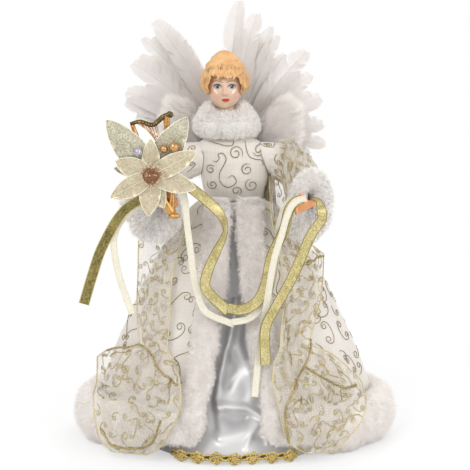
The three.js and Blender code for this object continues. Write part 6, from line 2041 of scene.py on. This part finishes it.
def make_ribbon(name, width, material, slot):
    arm_name = "left" if name.endswith("left") else "right"
    arm = ARMS[arm_name]
    wrist = np.array(arm["wrist"])
    rows = ROUTE_SHARES[name]
    places = []
    for row in rows:
        x = row[0] * abs(wrist[0])
        z = wrist[2] + row[1] * (HARP_TALL if row[1] > 0 else wrist[2])
        if len(row) > 3:
            y = wrist[1] - arm["ahead"] * row[3]
        else:
            y = float(min(wrist[1] - arm["ahead"], under_cloth(x, z, 3) - 0.8))
            y = y - RIBBON_LAYERS[name] * LAYER_STEP
        places.append((x, y, z))
    steps = 12
    if "swag_right" in name:
        places.append(tuple(mix(np.array(places[-1]), np.array(places[-2]), -0.22) + (0, 0.3, 0.3)))
        rows = rows + [rows[-1]]
    path = spline(places, steps)
    on_edge = [row[2] for row in rows]
    edge = np.interp(np.arange(len(path)) / steps, np.arange(len(rows)), on_edge) * math.pi / 2
    tangent = unit(np.gradient(path, axis=0))
    flat = unit(stack(-tangent[:, 2], 0, tangent[:, 0]))
    across = unit(flat * np.cos(edge)[:, None] + BACK * np.sin(edge)[:, None])
    normal = unit(np.cross(tangent, across))[:, None]
    s = np.linspace(-1, 1, 9)
    grid = path[:, None] + across[:, None] * (s * width / 2)[None, :, None]
    grid = grid + normal * (0.25 * s**2)[None, :, None]
    soup = Soup()
    quads = grid_quads(len(path), len(s))
    tone = np.tile(0.6 + 0.3 * np.abs(s) ** 3, len(path))
    soup.add(grid - normal * 0.1, quads, tone)
    soup.add(grid + normal * 0.1, quads[:, ::-1], tone)
    for k in (0, -1):
        soup.add(*tube(grid[:, k], 0.3), 1.0)
    piece = soup.piece(name + "_woven", material, None, [name], slot)
    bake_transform(piece)


for ribbon_name in ROUTE_SHARES:
    if ribbon_name == "gold_tail_right":
        make_ribbon(ribbon_name, GOLD_WIDE, dark_ribbon_material, "goldRibbon")
    elif ribbon_name.startswith("gold"):
        make_ribbon(ribbon_name, GOLD_WIDE, gold_ribbon_material, "goldRibbon")
    else:
        make_ribbon(ribbon_name, CREAM_WIDE, cream_ribbon_material, "creamRibbon")

# Stole, from the top down: two edges in half widths of the hem, and height in shares of the waist's
STOLE_SHARES = {
    "right": [
        [-0.33, -0.27, 0.952], [-0.435, -0.287, 0.899], [-0.583, -0.313, 0.839], [-0.587, -0.365, 0.744],
        [-0.591, -0.383, 0.613], [-0.583, -0.391, 0.5], [-0.574, -0.4, 0.44], [-0.73, -0.365, 0.399],
        [-0.843, -0.322, 0.345], [-0.843, -0.313, 0.25], [-0.826, -0.365, 0.155], [-0.8, -0.435, 0.071],
        [-0.73, -0.522, 0.03],
    ],
    "left": [
        [0.209, 0.32, 1.137], [0.209, 0.335, 1.047], [0.217, 0.35, 0.952], [0.243, 0.375, 0.869],
        [0.27, 0.539, 0.78], [0.287, 0.53, 0.702], [0.287, 0.513, 0.613], [0.27, 0.478, 0.536],
        [0.261, 0.452, 0.452], [0.226, 0.574, 0.399], [0.217, 0.678, 0.333], [0.243, 0.765, 0.262],
        [0.27, 0.757, 0.179], [0.304, 0.678, 0.101], [0.417, 0.574, 0.042],
    ],
}
# Rows where the cloth is creased sharply
STOLE_CORNERS = {"right": (0, 2, 8, 12), "left": (0, 3, 4, 10, 14)}
# Gold cords that cross the sheer cloth: across and up
CORD_WAYS = {
    "right": [
        [(-92.7, 68.5), (-80, 71), (-68.2, 73.3), (-59.6, 70.5), (-49.8, 58.2), (-38.4, 53.1)],
        [(-49.5, 30.3), (-57.9, 12.5), (-82.8, 9.7), (-90.9, 20.0)],
    ],
    "left": [
        [(62, 130.4), (48.5, 127.0), (36.8, 118.5), (31, 108.2)],
        [(52.6, 78.6), (49.5, 66.4), (34, 40.8), (34, 28.8), (36, 15.0)],
        [(48.1, 61.7), (62, 52), (74.8, 44.5), (84, 43.9)],
    ],
}
STOLE_FLAT = {"right": (0.06, 0.19), "left": (0.07, 0.22)}


def waves(phase):
    """Folds from 0 to 1."""
    return (1 - np.cos(phase)) / 2


def make_stole(name):
    places = np.array(STOLE_SHARES[name]) * (HEM_FUR["wide"], HEM_FUR["wide"], WAIST)
    cuts = STOLE_CORNERS[name]
    runs = [spline(places[a : b + 1], 10)[: None if b == cuts[-1] else -1] for a, b in zip(cuts, cuts[1:])]
    s = np.linspace(0, 1, 70)
    grid = []
    for left, right, z in np.concatenate(runs):
        x = mix(left, right, s)
        fold = 3 * waves(TURN * 2 * s) * z / WAIST
        crumple = smooth((0.46 * WAIST - z) / 12) * 1.3
        ripple = 0.5 * waves(TURN * 7 * s + z * 0.1)
        ripple = ripple + crumple * waves(TURN * 3.4 * s - z * 0.16 + 1.2 * np.sin(z * 0.12))
        y = np.minimum(under_cloth(x, z, 6), -13.5) - 0.9 - fold - ripple
        grid.append(stack(x, mix(y, -3.0 - 0.2 * fold, smooth((z - 177) / 10)), z))
    grid = np.array(grid)
    label = "stole_cloth_" + name
    piece = cloth(label, grid, organza_material, "doll", False, ["stole_" + name])
    soup = Soup()
    for edge in (grid[:, 0], grid[:, -1], grid[-1]) + ((grid[0],) if name == "right" else ()):
        length = np.linalg.norm(np.diff(edge, axis=0), axis=1).sum()
        soup.add(*twisted_cord(evenly(edge, max(8, int(length / 1.2))), 0.42), 0.95)
    flat_places = grid[..., [0, 2]].reshape(-1, 2)
    for way in CORD_WAYS[name]:
        way = evenly(spline(way, 12), 90)
        nearest = np.array([np.argmin(((flat_places - p) ** 2).sum(1)) for p in way])
        path = evenly(grid.reshape(-1, 3)[nearest] + (0, -0.5, 0), 60)
        path[1:-1] = (path[:-2] + path[1:-1] * 2 + path[2:]) / 4
        soup.add(*twisted_cord(path, 0.75), 0.6)
    cord = soup.piece("stole_cord_" + name, cord_material, "doll", slot="organza")
    soup = Soup()
    apart = 9 if name == "right" else 7.5
    embroider(soup, grid, apart, seed=91, toward=-BACK, tall=14, tries=1800, width=0.6, border=2)
    threads = soup.piece("stole_scrolls_" + name, cord_material, "doll", slot="organza")
    hang_sheet(piece, STOLE_FLAT[name])


for stole_name in STOLE_SHARES:
    make_stole(stole_name)


# Braid
def make_trim():
    """Braid of looped rosettes, tied to each other by two wavy cords."""
    soup = Soup()
    count = round(2 * TRIM_HALF_SPAN / ROSETTE_PITCH)

    def at(x, z, out=0.0):
        hem = satin_point(np.arcsin(x / SATIN_WIDE), 0 * np.asarray(x) + SATIN_HEM)
        return stack(x, hem[..., 1] - WALL / 2 - GAP - TRIM_THICK / 2 - out, z)

    def add_cord(path, radius, tone):
        soup.add(*twisted_cord(path, radius, 0.22, 4), tone)

    picker = np.random.default_rng(17)
    low, high = 0.9, TRIM_HEIGHT - 0.5
    for i in range(count):
        middle = mix(-TRIM_HALF_SPAN, TRIM_HALF_SPAN, (i + 0.5) / count) + picker.uniform(-0.5, 0.5)
        rise = TRIM_HEIGHT / 2 + picker.uniform(-0.4, 0.4)
        tilt = picker.uniform(0, 1)
        t = np.linspace(0, TURN, 26)
        # Painted light and shade: the loops are dark and bright by turns, and the inner ring, which stands
        # further out, is lighter than the outer one.
        for loop in range(6):
            turn = (loop + tilt) * TURN / 6
            far, size = picker.uniform(2.2, 2.6), picker.uniform(1.7, 2.0)
            x = middle + far * math.cos(turn) + size * np.cos(t)
            z = np.clip(rise + 0.86 * (far * math.sin(turn) + size * np.sin(t)), low, high)
            add_cord(at(x, z, 0.5 + 0.5 * (loop % 2)), 0.58, 0.16 + 0.62 * (loop % 2))
        for ring in (0.8, 1.7):
            x = middle + ring * np.cos(t + tilt)
            z = rise + ring * 0.9 * np.sin(t + tilt)
            add_cord(at(x, z, 1.9 - 0.3 * ring), 0.55, 1.15 - 0.5 * ring)
        t = np.linspace(0, TURN, 60)
        edge_wave = 4.3 + 0.4 * np.cos(6 * t - 6 * tilt)
        z = np.clip(rise + 0.9 * edge_wave * np.sin(t), low, high)
        add_cord(at(middle + edge_wave * np.cos(t), z, 0.2), 0.5, 0.8)
    x = np.linspace(-TRIM_HALF_SPAN, TRIM_HALF_SPAN, count * 40)
    for level in (-1, 1):
        wave = np.sin(math.pi * (x + TRIM_HALF_SPAN) / ROSETTE_PITCH * 2 + level)
        add_cord(at(x, TRIM_HEIGHT / 2 + level * (1.6 + 0.9 * wave), 0.2 + 0.3 * wave), 0.62, 0.45)
        add_cord(at(x, TRIM_HEIGHT / 2 - level * (0.2 + 1.3 * wave), 0.1), 0.5, 0.6)
    # Painted shade: a dark plate behind the loops fills the braid's gaps.
    z = np.linspace(3.6, TRIM_HEIGHT - 3.6, 8)[:, None]
    grid = at(x[None, ::4] + 0 * z, z + 0 * x[None, ::4], -0.6)
    soup.add(grid, grid_quads(*grid.shape[:2]), 0.0)
    soup.piece("gimp_braid", gimp_material, "doll", ["gimp_trim"], "gimp")


make_trim()

bpy.context.view_layer.update()
